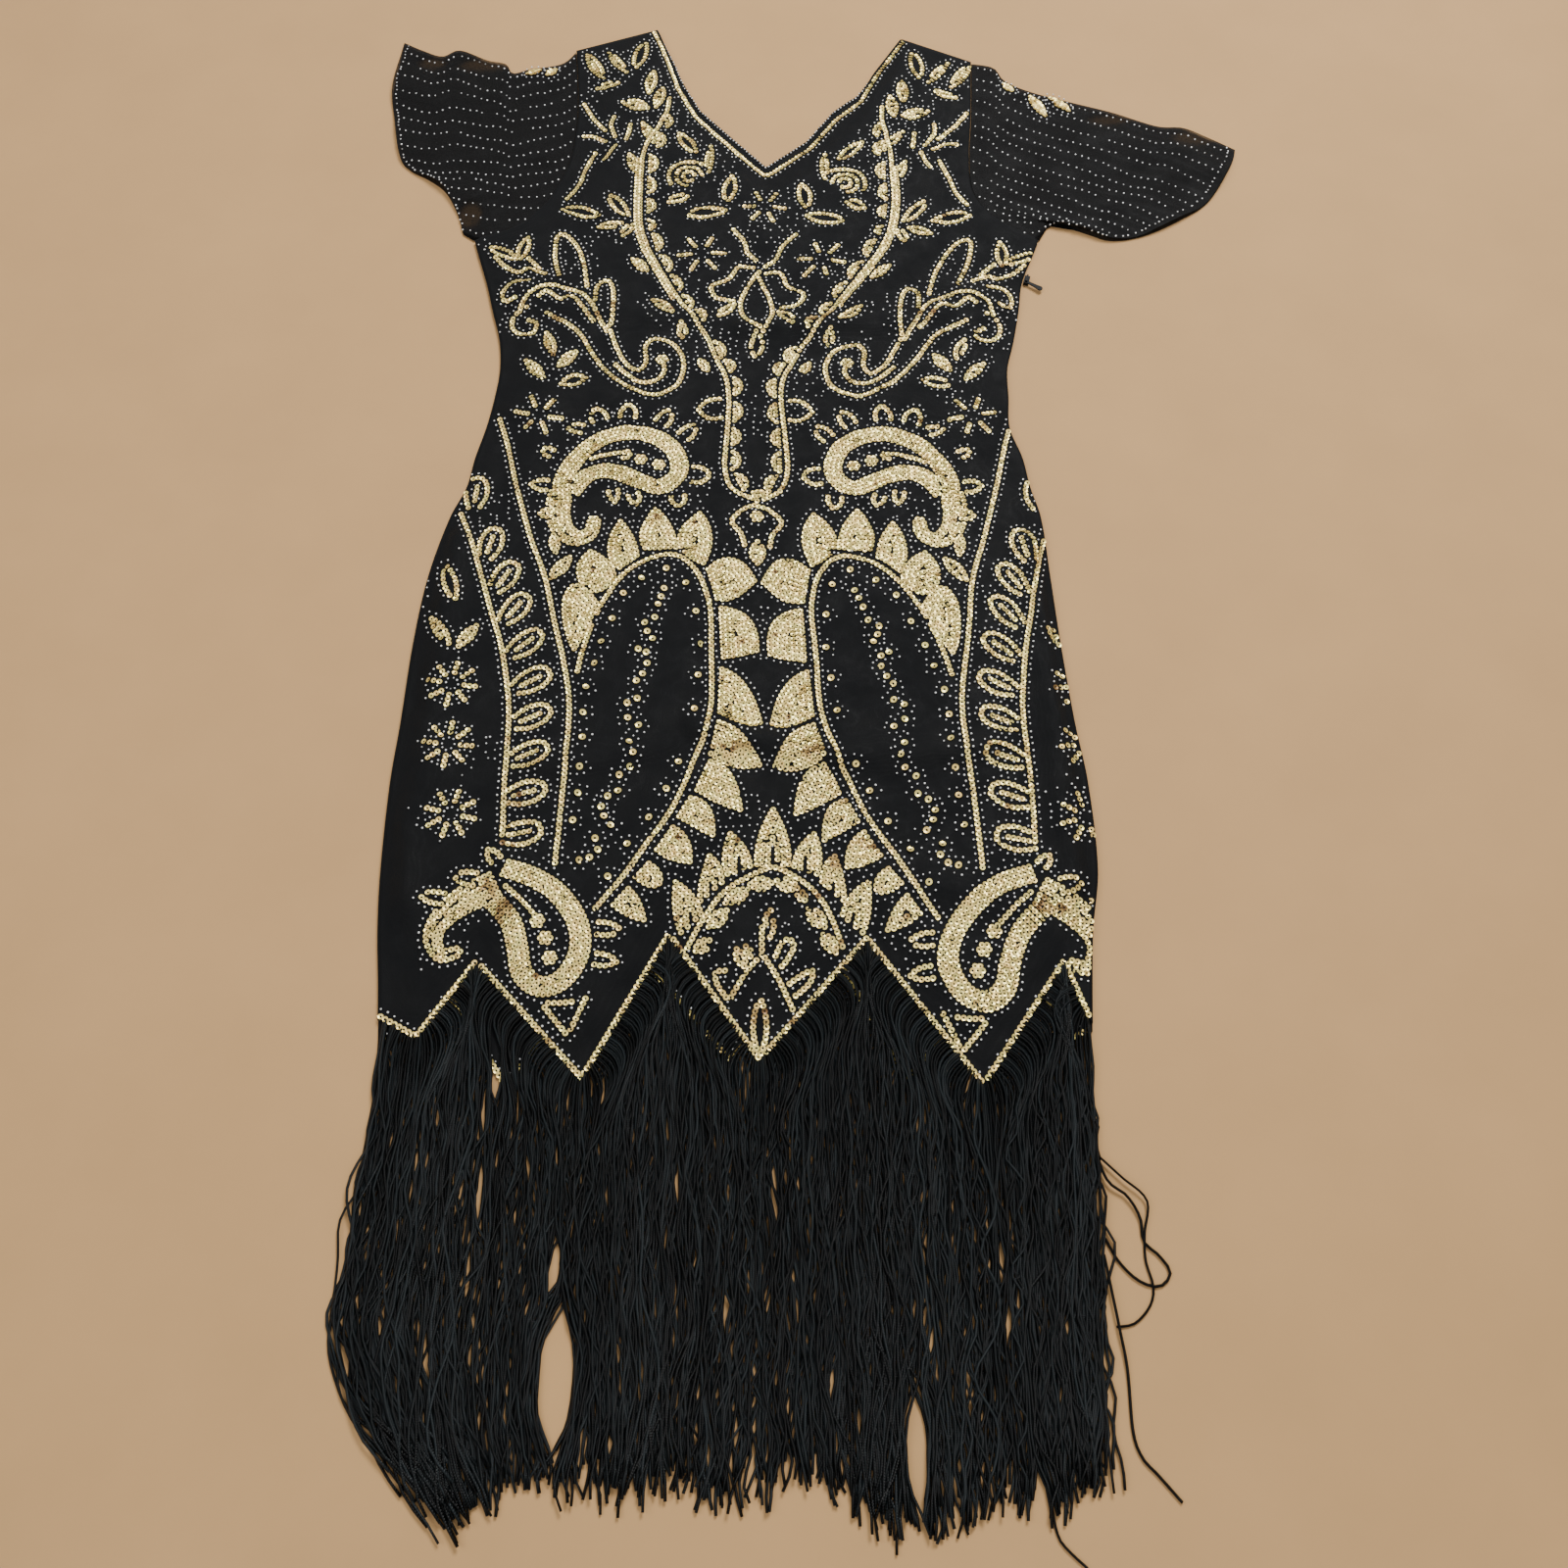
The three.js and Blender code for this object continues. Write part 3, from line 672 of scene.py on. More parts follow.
def floor_material():
    floor = colours().floor
    material, tree, shader = new_material("pale_floor")
    grain = noise(tree, 9.0, 6.0, 0.6)
    colour = ramp(tree, grain, [(0.3, shade(floor, 0.96)), (0.7, shade(floor, 1.04))])
    tree.links.new(colour, shader.inputs["Base Color"])
    shader.inputs["Roughness"].default_value = 0.85
    return material


# name, place, size, power
LIGHTS = [
    ("key_light", (0.7, 1.5, 2.3), 1.2, 96),
    ("fill_light", (-1.8, -0.3, 1.9), 2.0, 26),
    ("front_light", (0.3, -1.9, 1.7), 2.0, 14),
]


class DRESS_OT_stage(bpy.types.Operator):
    """Make the camera, the plain floor and the soft light"""

    bl_idname = "dress.stage"
    bl_label = "Stage and camera"

    def execute(self, context):
        camera_data = bpy.data.cameras.new("camera")
        camera_data.lens = LENS
        camera_data.sensor_width = LENS
        camera_data.clip_end = 20
        camera = bpy.data.objects.new("camera", camera_data)
        camera.location = world(*EYE, EYE_HEIGHT)
        camera.rotation_euler = (math.radians(CAMERA_TILT), 0, 0)
        context.scene.collection.objects.link(camera)
        context.scene.camera = camera

        bm = bmesh.new()
        bmesh.ops.create_grid(bm, x_segments=24, y_segments=24, size=FLOOR_HALF_SIZE)
        mesh = bpy.data.meshes.new("floor")
        bm.to_mesh(mesh)
        bm.free()
        mesh.materials.append(floor_material())
        floor = bpy.data.objects.new("floor", mesh)
        context.scene.collection.objects.link(floor)

        for name, place, size, power in LIGHTS:
            data = bpy.data.lights.new(name, "AREA")
            data.size = size
            data.energy = power
            light = bpy.data.objects.new(name, data)
            light.location = place
            light.rotation_euler = (-light.location).to_track_quat("-Z", "Y").to_euler()
            context.scene.collection.objects.link(light)
        studio = bpy.data.worlds.new("studio")
        studio.use_nodes = True
        background = studio.node_tree.nodes["Background"]
        background.inputs["Color"].default_value = (1, 0.98, 0.95, 1)
        background.inputs["Strength"].default_value = 0.3
        context.scene.world = studio
        return {"FINISHED"}


PANEL_UPPER_SHARE = 0.28  # of a panel's rows that lie above the armpit
MEETING_PASSES = 20


def panel_places(top, hem, height):
    """The solids' own mapping: columns keep their share of the half width."""

    def place(across, along):
        side = 2 * across - 1
        share = np.abs(side)

        def column_x(down):
            return np.where(side < 0, edge_at("left", down), edge_at("right", down)) * share

        def meeting(edge):
            down = np.full(side.shape, float(edge(0.0)))
            for _ in range(MEETING_PASSES):
                down = edge(column_x(down))
            return down

        start = meeting(top)
        end = meeting(lambda x: straight(hem, x))
        upper = mix(start, ARMPIT, np.clip(along / PANEL_UPPER_SHARE, 0, 1))
        lower = np.clip((along - PANEL_UPPER_SHARE) / (1 - PANEL_UPPER_SHARE), 0, 1)
        down = np.where(along < PANEL_UPPER_SHARE, upper, mix(ARMPIT, end, lower))
        x = column_x(down)
        return world(x, down, height(x, down))

    return place


def back_height(x, down):
    return np.full(np.shape(x), BACK_TOP)


# name, top edge, hem, height, columns, rows, what it lies on
PANELS = [
    ("front", front_top, HEM, front_height, 156, 220, "back_cloth"),
    ("back", back_top, BACK_HEM, back_height, 80, 120, "floor"),
]


class DRESS_OT_panels(bpy.types.Operator):
    """Lay the front and the back of lined net"""

    bl_idname = "dress.panels"
    bl_label = "Front and back"

    def execute(self, context):
        net = weave_group()
        material = net_material("black_net_over_lining", net, colours().net, NET_PITCH, 0.035)[0]
        for name, top, hem, height, columns, rows, below in PANELS:
            mesh = grid_cloth(name + "_cloth", columns, rows, panel_places(top, hem, height))
            piece = add_piece(name + "_cloth", mesh, material)
            thicken(piece, sizes().panel_wall)
            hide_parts(name + "_panel")
        return {"FINISHED"}


def spline(points, samples=240):
    """A Catmull-Rom curve through points, resampled by its length."""
    knots = np.array(points, float)
    knots = np.vstack([knots[:1], knots, knots[-1:]])
    pieces = []
    t = np.linspace(0, 1, 24, endpoint=False)[:, None]
    for a, b, c, d in zip(knots, knots[1:], knots[2:], knots[3:]):
        squared = (2 * a - 5 * b + 4 * c - d) * t**2
        cubed = (3 * b - a - 3 * c + d) * t**3
        pieces.append(0.5 * (2 * b + (c - a) * t + squared + cubed))
    curve = np.vstack([*pieces, knots[-2:-1]])
    return resample(curve, np.linspace(0, 1, samples))


def lengths(curve):
    return np.concatenate([[0], np.cumsum(np.hypot(*np.diff(curve, axis=0).T))])


def resample(curve, shares):
    run = lengths(curve)
    at = np.asarray(shares) * run[-1]
    return np.stack([np.interp(at, run, curve[:, k]) for k in range(2)], axis=-1)


class SleevePatch:
    """The flat shape of a sleeve between its armhole, cuff, top edge and underarm."""

    def __init__(self, side):
        self.side = side
        table = SLEEVES[side]
        outward = -1 if side == "left" else 1
        shoulder = UPPER_EDGE[0][1] if side == "left" else UPPER_EDGE[-1][1]
        downs = mix(shoulder, ARMPIT, np.linspace(0, 1, 60))
        self.armhole = np.stack([edge_at(side, downs) + outward * 0.6, downs], axis=-1)
        self.cuff = spline(table["cuff"])
        self.top = spline([tuple(self.armhole[0]), *table["top"], table["cuff"][0]])
        self.folds = table["folds"]

    def at(self, along, across):
        along, across = np.asarray(along, float), np.asarray(across, float)

        def on(curve, share):
            run = np.linspace(0, 1, len(curve))
            return np.stack([np.interp(share, run, curve[:, k]) for k in range(2)], axis=-1)

        a, c = along[..., None], across[..., None]
        start, end = self.armhole[0], self.armhole[-1]
        low = mix(end, self.cuff[-1], a)
        return (
            on(self.armhole, across) * (1 - a)
            + on(self.cuff, across) * a
            + on(self.top, along) * (1 - c)
            + low * c
            - start * (1 - a) * (1 - c)
            - end * (1 - a) * c
            - self.cuff[0] * a * (1 - c)
            - self.cuff[-1] * a * c
        )

    def height(self, along, across):
        """Height of the upper layer in mm, without its rounding at the edges."""
        lift = np.zeros(np.shape(along))
        for place, rise, spread in self.folds:
            lift = lift + rise * ease(along) * np.exp(-(((across - place) / spread) ** 2))
        ripple = 0.35 * np.sin(19 * across + 5 * along) + 0.25 * np.sin(43 * across - 4 * along)
        lift = lift + ripple * ease(along * 3)
        round_off = np.minimum(ease(across / 0.04), ease((1 - across) / 0.04))
        return mix(1.4, SLEEVE_HEIGHT + 0.2 + lift, round_off)


def in_ovals(ovals, x, down, full):
    """How far each place lies in one of a table's ovals, 0 to 1."""
    amount = np.zeros(np.shape(x))
    for at, low, wide, tall in ovals:
        far = ((x - at) / wide) ** 2 + ((down - low) / tall) ** 2
        amount = np.maximum(amount, ease(full - 1.2 * far))
    return amount


# Where one layer of a sleeve lies alone: x, down, half width, half height
SLEEVE_THIN = [
    (-253, 42, 26, 10),
    (-300, 40, 14, 9),
    (-249, 226, 11, 17),
    (372, 134, 22, 11),
    (300, 112, 20, 8),
]


class DRESS_OT_sleeves(bpy.types.Operator):
    """Lay the two sheer sleeves, each an open tube of one thin net"""

    bl_idname = "dress.sleeves"
    bl_label = "Sleeves"

    def execute(self, context):
        material = sheer_material(bpy.data.node_groups["net_weave"])
        # The cut: round the armhole, along the top edge, and the flat area of the tube.
        for side in ("left", "right"):
            patch = SleevePatch(side)

            def place(across, along):
                way = np.where(across <= 0.5, 2 * across, 2 - 2 * across)
                flat = patch.at(along, way)
                upper = patch.height(along, way)
                lower = 0.25 + 0.15 * np.sin(31 * way + 7 * along)
                edge = np.minimum(ease(way / 0.03), ease((1 - way) / 0.03))
                under = mix(1.4, lower, edge)
                height = np.where(across <= 0.5, upper, under)
                return world(flat[:, 0], flat[:, 1], height)

            name = "sleeve_" + side
            mesh = grid_cloth(name + "_net", 110, 44, place, tube=True)
            self.mark_thin(mesh)
            piece = add_piece(name + "_net", mesh, material)
            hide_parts(name)
        return {"FINISHED"}

    def mark_thin(self, mesh):
        """Where one layer lies alone, more of the floor shows."""
        places = np.array([vertex.co for vertex in mesh.vertices]) / MM
        values = in_ovals(SLEEVE_THIN, places[:, 0] - OFFSET_X, OFFSET_Y - places[:, 1], 1.5)
        layer = mesh.attributes.new("thin", "FLOAT", "POINT")
        layer.data.foreach_set("value", values.astype(np.float32))


SEQUIN_SIDES = 10
SEQUIN_HOLE = 0.36  # as a share of its radius
SEQUIN_CUP = 0.16
SEQUIN_OVERLAP = 0.1
WORN_SHARE = 0.008
BEAD_FLATNESS = 0.85
BEAD_PLAY = 0.25  # how far a bead lies off its place


def tangents(curve):
    way = np.gradient(curve, axis=0)
    return way / np.maximum(np.hypot(way[:, 0], way[:, 1]), 1e-9)[:, None]


def beside(curve, gap):
    """The curve moved to its left by gap, with loops at tight bends left out."""
    way = tangents(curve)
    moved = curve + gap * np.stack([way[:, 1], -way[:, 0]], axis=-1)
    if len(curve) < 3:
        return moved
    kept = [0]
    for i in range(1, len(moved)):
        if (moved[i] - moved[kept[-1]]) @ way[i] > 0:
            kept.append(i)
    return moved[kept]


def steps(curve, pitch, closed=False):
    """Evenly spaced places along a curve, with the direction at each."""
    run = lengths(curve)[-1] if len(curve) > 1 else 0
    if run < 0.6 * pitch:
        return np.zeros((0, 3))
    count = max(int(round(run / pitch)), 1)
    shares = (np.arange(count) + 0.5) / count if closed else np.linspace(0, 1, count + 1)
    after, before = np.clip(shares + 1e-3, 0, 1), np.clip(shares - 1e-3, 0, 1)
    near = resample(curve, after) - resample(curve, before)
    return np.column_stack([resample(curve, shares), np.arctan2(near[:, 1], near[:, 0])])


STRAIGHT_SAMPLES = 400
ROW_GAP = 3.5  # between rows of sequins
FILL_EDGE = 2.2  # from a filled shape's outline to its first row
FILL_TIP = 3.0  # from its point to the sequin there
FILL_DEEPEST = 60
FILL_GRID = 1.6
LEAF_EASE = 1.6  # how much a leaf's outline lies outside the leaf
BEAD_GAP = 4.3  # from a row of sequins to the beads beside it
FILL_RIM = BEAD_GAP - FILL_EDGE + 0.6


def line(points, rows=1, straight_through=False):
    """Rows of sequins along a curve, with beads on both sides."""
    if straight_through:
        curve = resample(np.array(points, float), np.linspace(0, 1, STRAIGHT_SAMPLES))
    else:
        curve = spline(points)
    offsets = (np.arange(rows) - (rows - 1) / 2) * ROW_GAP
    sequins = [steps(beside(curve, offset), in_mm("sequin_pitch")) for offset in offsets]
    outside = offsets[-1] + BEAD_GAP
    rims = [steps(beside(curve, gap), in_mm("bead_pitch"))[:, :2] for gap in (-outside, outside)]
    way = tangents(curve)
    rims.append([curve[0] - way[0] * BEAD_GAP, curve[-1] + way[-1] * BEAD_GAP])
    return np.vstack(sequins), np.vstack(rims)


def inside_of(points, outline):
    x, y = points[:, 0], points[:, 1]
    inside = np.zeros(len(points), bool)
    for (x0, y0), (x1, y1) in zip(outline, np.roll(outline, -1, axis=0)):
        crosses = (y0 > y) != (y1 > y)
        slope = np.where(y1 == y0, 1e-9, y1 - y0)
        inside ^= crosses & (x < (x1 - x0) * (y - y0) / slope + x0)
    return inside


def gap_to(points, outline):
    """Distance from each point to a closed outline."""
    nearest = np.full(len(points), 1e9)
    for a, b in zip(outline, np.roll(outline, -1, axis=0)):
        way = b - a
        t = np.clip(((points - a) @ way) / max(way @ way, 1e-9), 0, 1)[:, None]
        nearest = np.minimum(nearest, np.hypot(*(points - a - t * way).T))
    return nearest


def round_once(outline):
    """A closed outline as an even loop that runs clockwise as seen on the dress."""
    outline = np.asarray(outline, float)
    after = np.roll(outline, -1, axis=0)
    if np.sum(outline[:, 0] * after[:, 1] - after[:, 0] * outline[:, 1]) < 0:
        outline = outline[::-1]
    return resample(np.vstack([outline, outline[:1]]), np.linspace(0, 1, 240))


def runs_of(points, keep):
    """The unbroken stretches of a closed curve where keep is true."""
    if keep.all():
        return [points]
    start = int(np.argmin(keep))
    points, keep = np.roll(points, -start, axis=0), np.roll(keep, -start)
    stretches, current = [], []
    for point, wanted in zip(points, keep):
        if wanted:
            current.append(point)
        elif current:
            stretches.append(np.array(current))
            current = []
    if current:
        stretches.append(np.array(current))
    return stretches


def filled(outline):
    """A closed shape filled with rows of sequins that follow its outline."""
    loop = round_once(outline)
    way = tangents(loop)
    inward = np.stack([-way[:, 1], way[:, 0]], axis=-1)
    rows = []
    for depth in np.arange(FILL_EDGE, FILL_DEEPEST, ROW_GAP):
        moved = loop + depth * inward
        keep = inside_of(moved, loop) & (gap_to(moved, loop) > depth - 0.25)
        stretches = [run for run in runs_of(moved, keep) if len(run) > 1]
        if not stretches:
            break
        rows += [steps(run, in_mm("sequin_pitch")) for run in stretches]
    middle = loop.mean(axis=0)
    tip = loop[np.argmax(np.hypot(*(loop - middle).T))]
    inner = tip + (middle - tip) * FILL_TIP / np.hypot(*(middle - tip))
    rows.append(np.array([[*inner, 0.0]]))
    # What the rows leave open in the middle is filled as far as sequins fit.
    low, high = loop.min(axis=0), loop.max(axis=0)
    ways = [np.arange(low[k], high[k], FILL_GRID) for k in range(2)]
    spots = np.stack(np.meshgrid(*ways), axis=-1).reshape(-1, 2)
    spots = spots[inside_of(spots, loop)]
    spots = spots[gap_to(spots, loop) > FILL_EDGE]
    rows.append(np.column_stack([spots, np.zeros(len(spots))]))
    rim = steps(beside(loop, FILL_RIM), in_mm("bead_pitch"), closed=True)[:, :2]
    return np.vstack(rows), rim


def turned(points, x, down, turn):
    """A motif's own points, its top at -down, turned clockwise by degrees and moved."""
    a = math.radians(turn)
    way = np.array([[math.cos(a), -math.sin(a)], [math.sin(a), math.cos(a)]])
    return np.asarray(points, float) @ way.T + (x, down)


def leaf_outline(base, tip, width):
    """A leaf from base to tip, pointed at both ends."""
    base, tip = np.array(base, float), np.array(tip, float)
    way = tip - base
    across = np.array([-way[1], way[0]]) / np.hypot(*way)
    t = np.linspace(0, 1, 25)[:, None]
    half = np.sin(math.pi * t) ** 0.75 * width / 2 * across
    one, two = base + t * way + half, base + t * way - half
    return np.vstack([one, two[-2:0:-1]])


def leaf(base, tip, width):
    base, tip = np.array(base, float), np.array(tip, float)
    longer = (tip - base) / np.hypot(*(tip - base)) * LEAF_EASE
    return filled(leaf_outline(base - longer, tip + longer, width + LEAF_EASE))


def hollow_leaf(base, tip, width):
    """A leaf of one row of sequins, with beads outside it."""
    outline = leaf_outline(base, tip, width - ROW_GAP)
    loop = resample(np.vstack([outline, outline[:1]]), np.linspace(0, 1, 120))
    after = np.roll(loop, -1, axis=0)
    area = np.sum(loop[:, 0] * after[:, 1] - after[:, 0] * loop[:, 1])
    ring = steps(loop, in_mm("sequin_pitch"), closed=True)
    out = BEAD_GAP if area > 0 else -BEAD_GAP
    return ring, steps(beside(loop, out), in_mm("bead_pitch"), closed=True)[:, :2]


def circle(x, down, radius, count, turn=0.0):
    """Places evenly round a circle."""
    a = 2 * math.pi * np.arange(count) / count + turn
    return np.column_stack([x + radius * np.cos(a), down + radius * np.sin(a)])


def disc(x, down):
    """A round of seven sequins in a ring of beads."""
    ring = np.column_stack([circle(x, down, DISC_RADIUS, 6), np.arange(6) * math.pi / 3])
    radius = DISC_RADIUS + BEAD_GAP
    beads = int(2 * math.pi * radius / in_mm("bead_pitch"))
    return np.vstack([[(x, down, 0)], ring]), circle(x, down, radius, beads)


def loose_beads(x, down):
    """The uneven ring of beads round a loose sequin."""
    a = np.arange(8) * math.pi / 4 + x
    far = 6.8 + 1.2 * np.sin(3 * a + down)
    return np.zeros((0, 3)), np.column_stack([x + far * np.cos(a), down + far * np.sin(a)])


def gathered(parts):
    """Several motifs as one."""
    sequins, beads = zip(*parts)
    return np.vstack(sequins), np.vstack([np.reshape(b, (-1, 2)) for b in beads])


def daisy(x, down, inner, outer, turn, petals):
    """Short dashes of sequins round rings of beads, which start anywhere."""
    parts = []
    centre = np.array([x, down])
    for k in range(petals):
        a = math.radians(turn) + 2 * math.pi * k / petals
        way = np.array([math.sin(a), -math.cos(a)])
        parts.append(line([centre + way * inner, centre + way * outer], straight_through=True))
    for radius, count in ((DAISY_EYE, 6), (DAISY_RING, 2 * petals)):
        parts.append((np.zeros((0, 3)), circle(x, down, radius, count, turn)))
    return gathered(parts)


def horseshoe(x, down, turn):
    """A loop open at its foot with a short row inside it."""
    loop = line(turned(HORSESHOE, x, down, turn))
    row = line(turned(HORSESHOE_ROW, x, down, turn), straight_through=True)
    return gathered([loop, row])


def chevron(x, down, turn, width, height):
    """A small petal: one row up to a point and down again."""
    w, h = width / 2, height / 2
    one = bend((-w * 0.8, h), (-w, -h * 0.3), (0, -h), 12)
    two = bend((0, -h), (w, -h * 0.3), (w * 0.8, h), 12)
    return line(turned(np.vstack([one, two[1:]]), x, down, turn), straight_through=True)


def bend(a, b, c, count=16):
    """A curve from a to c that b pulls out."""
    t = np.linspace(0, 1, count)[:, None]
    a, b, c = (np.array(p, float) for p in (a, b, c))
    return a * (1 - t) ** 2 + 2 * b * t * (1 - t) + c * t * t


def through(a, middle, c):
    """A curve from a to c by way of middle."""
    return bend(a, 2 * np.array(middle, float) - np.add(a, c) / 2, c)


def petal(a, side, tip, other, b, back=None):
    """A filled petal: from a out past side to its tip and past other to b."""
    outline = [through(a, side, tip), through(tip, other, b)[1:]]
    if back is not None:
        outline.append(through(b, back, a)[1:-1])
    return filled(np.vstack(outline))


def slit_petal(tip, left, right, slit):
    """A filled petal of the crown, open at its foot up to slit."""
    tip, left, right, slit = (np.array(p, float) for p in (tip, left, right, slit))
    width = np.hypot(*(right - left))
    way = (right - left) / width
    foot = way * (width / 2 - 1.2)
    one = through(left, (left + tip) / 2 - way * 4, tip)
    two = through(tip, (right + tip) / 2 + way * 4, right)[1:]
    inner = [right - foot, slit + way * 0.8, slit - way * 0.8, left + foot]
    return filled(np.vstack([one, two, inner]))


def scallop(a, b, depth):
    """A filled half round on the chord from a to b."""
    a, b = np.array(a, float), np.array(b, float)
    way = b - a
    out = np.array([way[1], -way[0]]) / np.hypot(*way)
    t = np.linspace(0, math.pi, 17)[:, None]
    return filled((a + b) / 2 - way / 2 * np.cos(t) + out * depth * np.sin(t))


def stroke(spine, widths):
    """A filled band along a curve, with its own width at each of the curve's points."""
    curve = spline(spine, 80)
    way = tangents(curve)
    across = np.stack([way[:, 1], -way[:, 0]], axis=-1)
    half = np.interp(np.linspace(0, 1, 80), np.linspace(0, 1, len(widths)), widths)[:, None] / 2
    t = np.linspace(0, math.pi, 9)[1:-1, None]
    cap = curve[-1] + half[-1] * (across[-1] * np.cos(t) + way[-1] * np.sin(t))
    return filled(np.vstack([curve + across * half, cap, (curve - across * half)[::-1]]))


# Motifs of the left half, each placed by its main points as measured on the dress.
NECK_INSET = 4.2
VINE = [
    (-86, 82), (-88, 100), (-95, 118), (-104, 140), (-107, 158), (-107, 200), (-105, 236),
    (-97, 264), (-84, 292), (-72, 316), (-58, 338), (-47, 356), (-40, 378), (-31, 400), (-28, 424),
    (-29, 460), (-30, 490), (-24, 510), (-5, 521),
]
VINE_DOUBLE = [(-107, 158), (-107, 200), (-105, 236), (-97, 264), (-84, 292), (-72, 316)]
# Leaves as base x, base down, tip x, tip down, width
SOLID_LEAVES = [
    (-145, 58, -163, 24, 11),
    (-124, 51, -144, 22, 8),
    (-105, 76, -101, 46, 10),
    (-98, 94, -92, 67, 10),
    (-131, 61, -152, 70, 8),
    (-128, 87, -104, 93, 13),
    (-109, 111, -97, 138, 9),
    (-119, 150, -110, 176, 9),
    (-142, 239, -120, 232, 8),
    (-111, 273, -97, 287, 9),
    (-93, 318, -74, 334, 9),
    (-68, 340, -66, 360, 9),
    (-177, 352, -169, 378, 9),
    (-165, 391, -151, 372, 10),
    (-192, 382, -175, 401, 9),
    (-243, 626, -226, 650, 9),
    (-221, 652, -208, 632, 10),
    (-158, 551, -155, 570, 8),
    (-158, 593, -143, 572, 10),
    (-52, 382, -45, 394, 8),
    (-12, 516, 3, 514, 7),
]
# Half rounds inside the vine: from x, down, to x, down, depth
SCALLOPS = [
    (-92, 101, -88, 120, 9),
    (-97, 124, -96, 144, 10),
    (-102, 151, -102, 174, 10),
    (-102, 178, -102, 200, 9),
    (-102, 203, -101, 222, 9),
    (-101, 228, -98, 242, 8),
    (-97, 244, -91, 266, 9),
    (-90, 269, -81, 289, 9),
    (-80, 291, -71, 311, 8),
    (-70, 314, -61, 330, 8),
    (-59, 330, -50, 344, 8),
    (-43, 361, -36, 383, 9),
    (-34, 382, -28, 397, 9),
    (-26, 399, -25, 420, 9),
    (-25, 424, -25, 447, 9),
    (-26, 450, -26, 470, 9),
    (-26, 472, -26, 494, 9),
    (-24, 495, -16, 514, 9),
]
HOLLOW_LEAVES = [
    (-118, 44, -110, 10, 13),
    (-116, 225, -134, 200, 12),
    (-121, 248, -112, 233, 9),
    (-173, 217, -141, 224, 13),
    (-33, 208, -29, 179, 13),
    (-66, 223, -34, 218, 14),
    (-84, 208, -66, 200, 10),
    (-61, 150, -76, 126, 12),
    (-50, 174, -48, 143, 8),
    (-39, 337, -25, 324, 9),
    (-227, 611, -236, 581, 12),
    (-163, 406, -142, 401, 13),
    (-205, 274, -199, 250, 11),
    (-206, 273, -231, 261, 11),
]
# Rows of sequins, each a list of places
LINES = [
    [(-161, 90), (-153, 106), (-141, 123)],
    [(-134, 105), (-136, 116), (-132, 130)],
    [(-119, 116), (-122, 133)],
    [(-159, 130), (-150, 130), (-140, 136)],
    [(-148, 151), (-155, 170), (-160, 190), (-169, 205)],
    [(-131, 141), (-140, 158)],
    [(-27, 240), (-18, 254), (-15, 267), (-8, 275)],
    [(-10, 283), (-22, 283), (-31, 297), (-44, 304), (-40, 316), (-26, 320)],
    [(-5, 288), (-14, 304), (-20, 322), (-18, 336), (-12, 345), (-4, 348)],
    [(-170, 294), (-175, 272), (-174, 247), (-162, 252), (-152, 274), (-147, 302)],
    [(-229, 266), (-216, 281), (-204, 288), (-194, 285), (-182, 291)],
    [(-197, 273), (-183, 289)],
    [(-195, 297), (-208, 300), (-215, 311), (-213, 320), (-205, 316)],
    [
        (-200, 326), (-195, 312), (-180, 303), (-164, 304), (-150, 312), (-141, 325), (-133, 340),
        (-128, 352),
    ],
    [(-139, 320), (-138, 303), (-130, 298), (-125, 308), (-124, 332), (-126, 345)],
    [
        (-127, 345), (-119, 370), (-111, 386), (-101, 394), (-95, 385), (-96, 370), (-92, 362),
        (-85, 361), (-74, 366), (-66, 379), (-65, 395), (-71, 410), (-87, 418), (-103, 413),
        (-121, 400), (-136, 380), (-150, 354), (-163, 341), (-178, 332),
    ],
    [(-119, 387), (-110, 397), (-98, 405), (-86, 403), (-80, 394), (-81, 386)],
    [(-195, 325), (-203, 333), (-205, 347), (-198, 356), (-188, 354), (-185, 345), (-192, 340)],
    [(-186, 312), (-178, 308), (-168, 319), (-159, 315), (-149, 327), (-140, 338)],
    [
        (-207, 443), (-199, 468), (-190, 504), (-184, 525), (-174, 558), (-162, 590), (-152, 630),
        (-143, 665), (-137, 700), (-137, 750), (-139, 822),
    ],
    [
        (-229, 534), (-220, 556), (-210, 586), (-200, 618), (-190, 648), (-183, 680), (-179, 710),
        (-178, 760), (-176, 802),
    ],
    [(-137, 921), (-130, 921), (-122, 920)],
]
HEM_POINT = [(-139, 924), (-123, 943), (-113, 918)]
BELL = [(-7, 525), (-15, 529), (-24, 540), (-17, 551), (-14, 562)]

# x, down, from and to how far out its dashes reach, turn, dashes
CENTRE_DAISY = (-1, 214, 9, 17, 35, 6)
DAISIES = [
    (-53, 268, 9.5, 19, 25, 6),
    (-177, 438, 9, 18, -22, 6),
    (-222, 682, 9, 17, 8, 8),
    (-220, 731, 9, 17, 5, 8),
    (-213, 785, 9, 17, 14, 8),
]
# A loop's own points and its inner row's; then x, down and turn of each
HORSESHOE = [
    (-5, 15), (-7.5, 6), (-8, -3), (-5, -11), (0, -13), (5, -11), (8, -3), (7.5, 6), (4, 14),
]
HORSESHOE_ROW = [(0, -5), (-0.5, 9)]
HORSESHOES = [
    (-219, 513, 0),
    (-204, 560, 10),
    (-191, 590, 28),
    (-181, 618, 32),
    (-171, 648, 46),
    (-164, 679, 56),
    (-162, 709, 62),
    (-162, 739, 64),
    (-162, 769, 70),
    (-163, 800, 76),
]
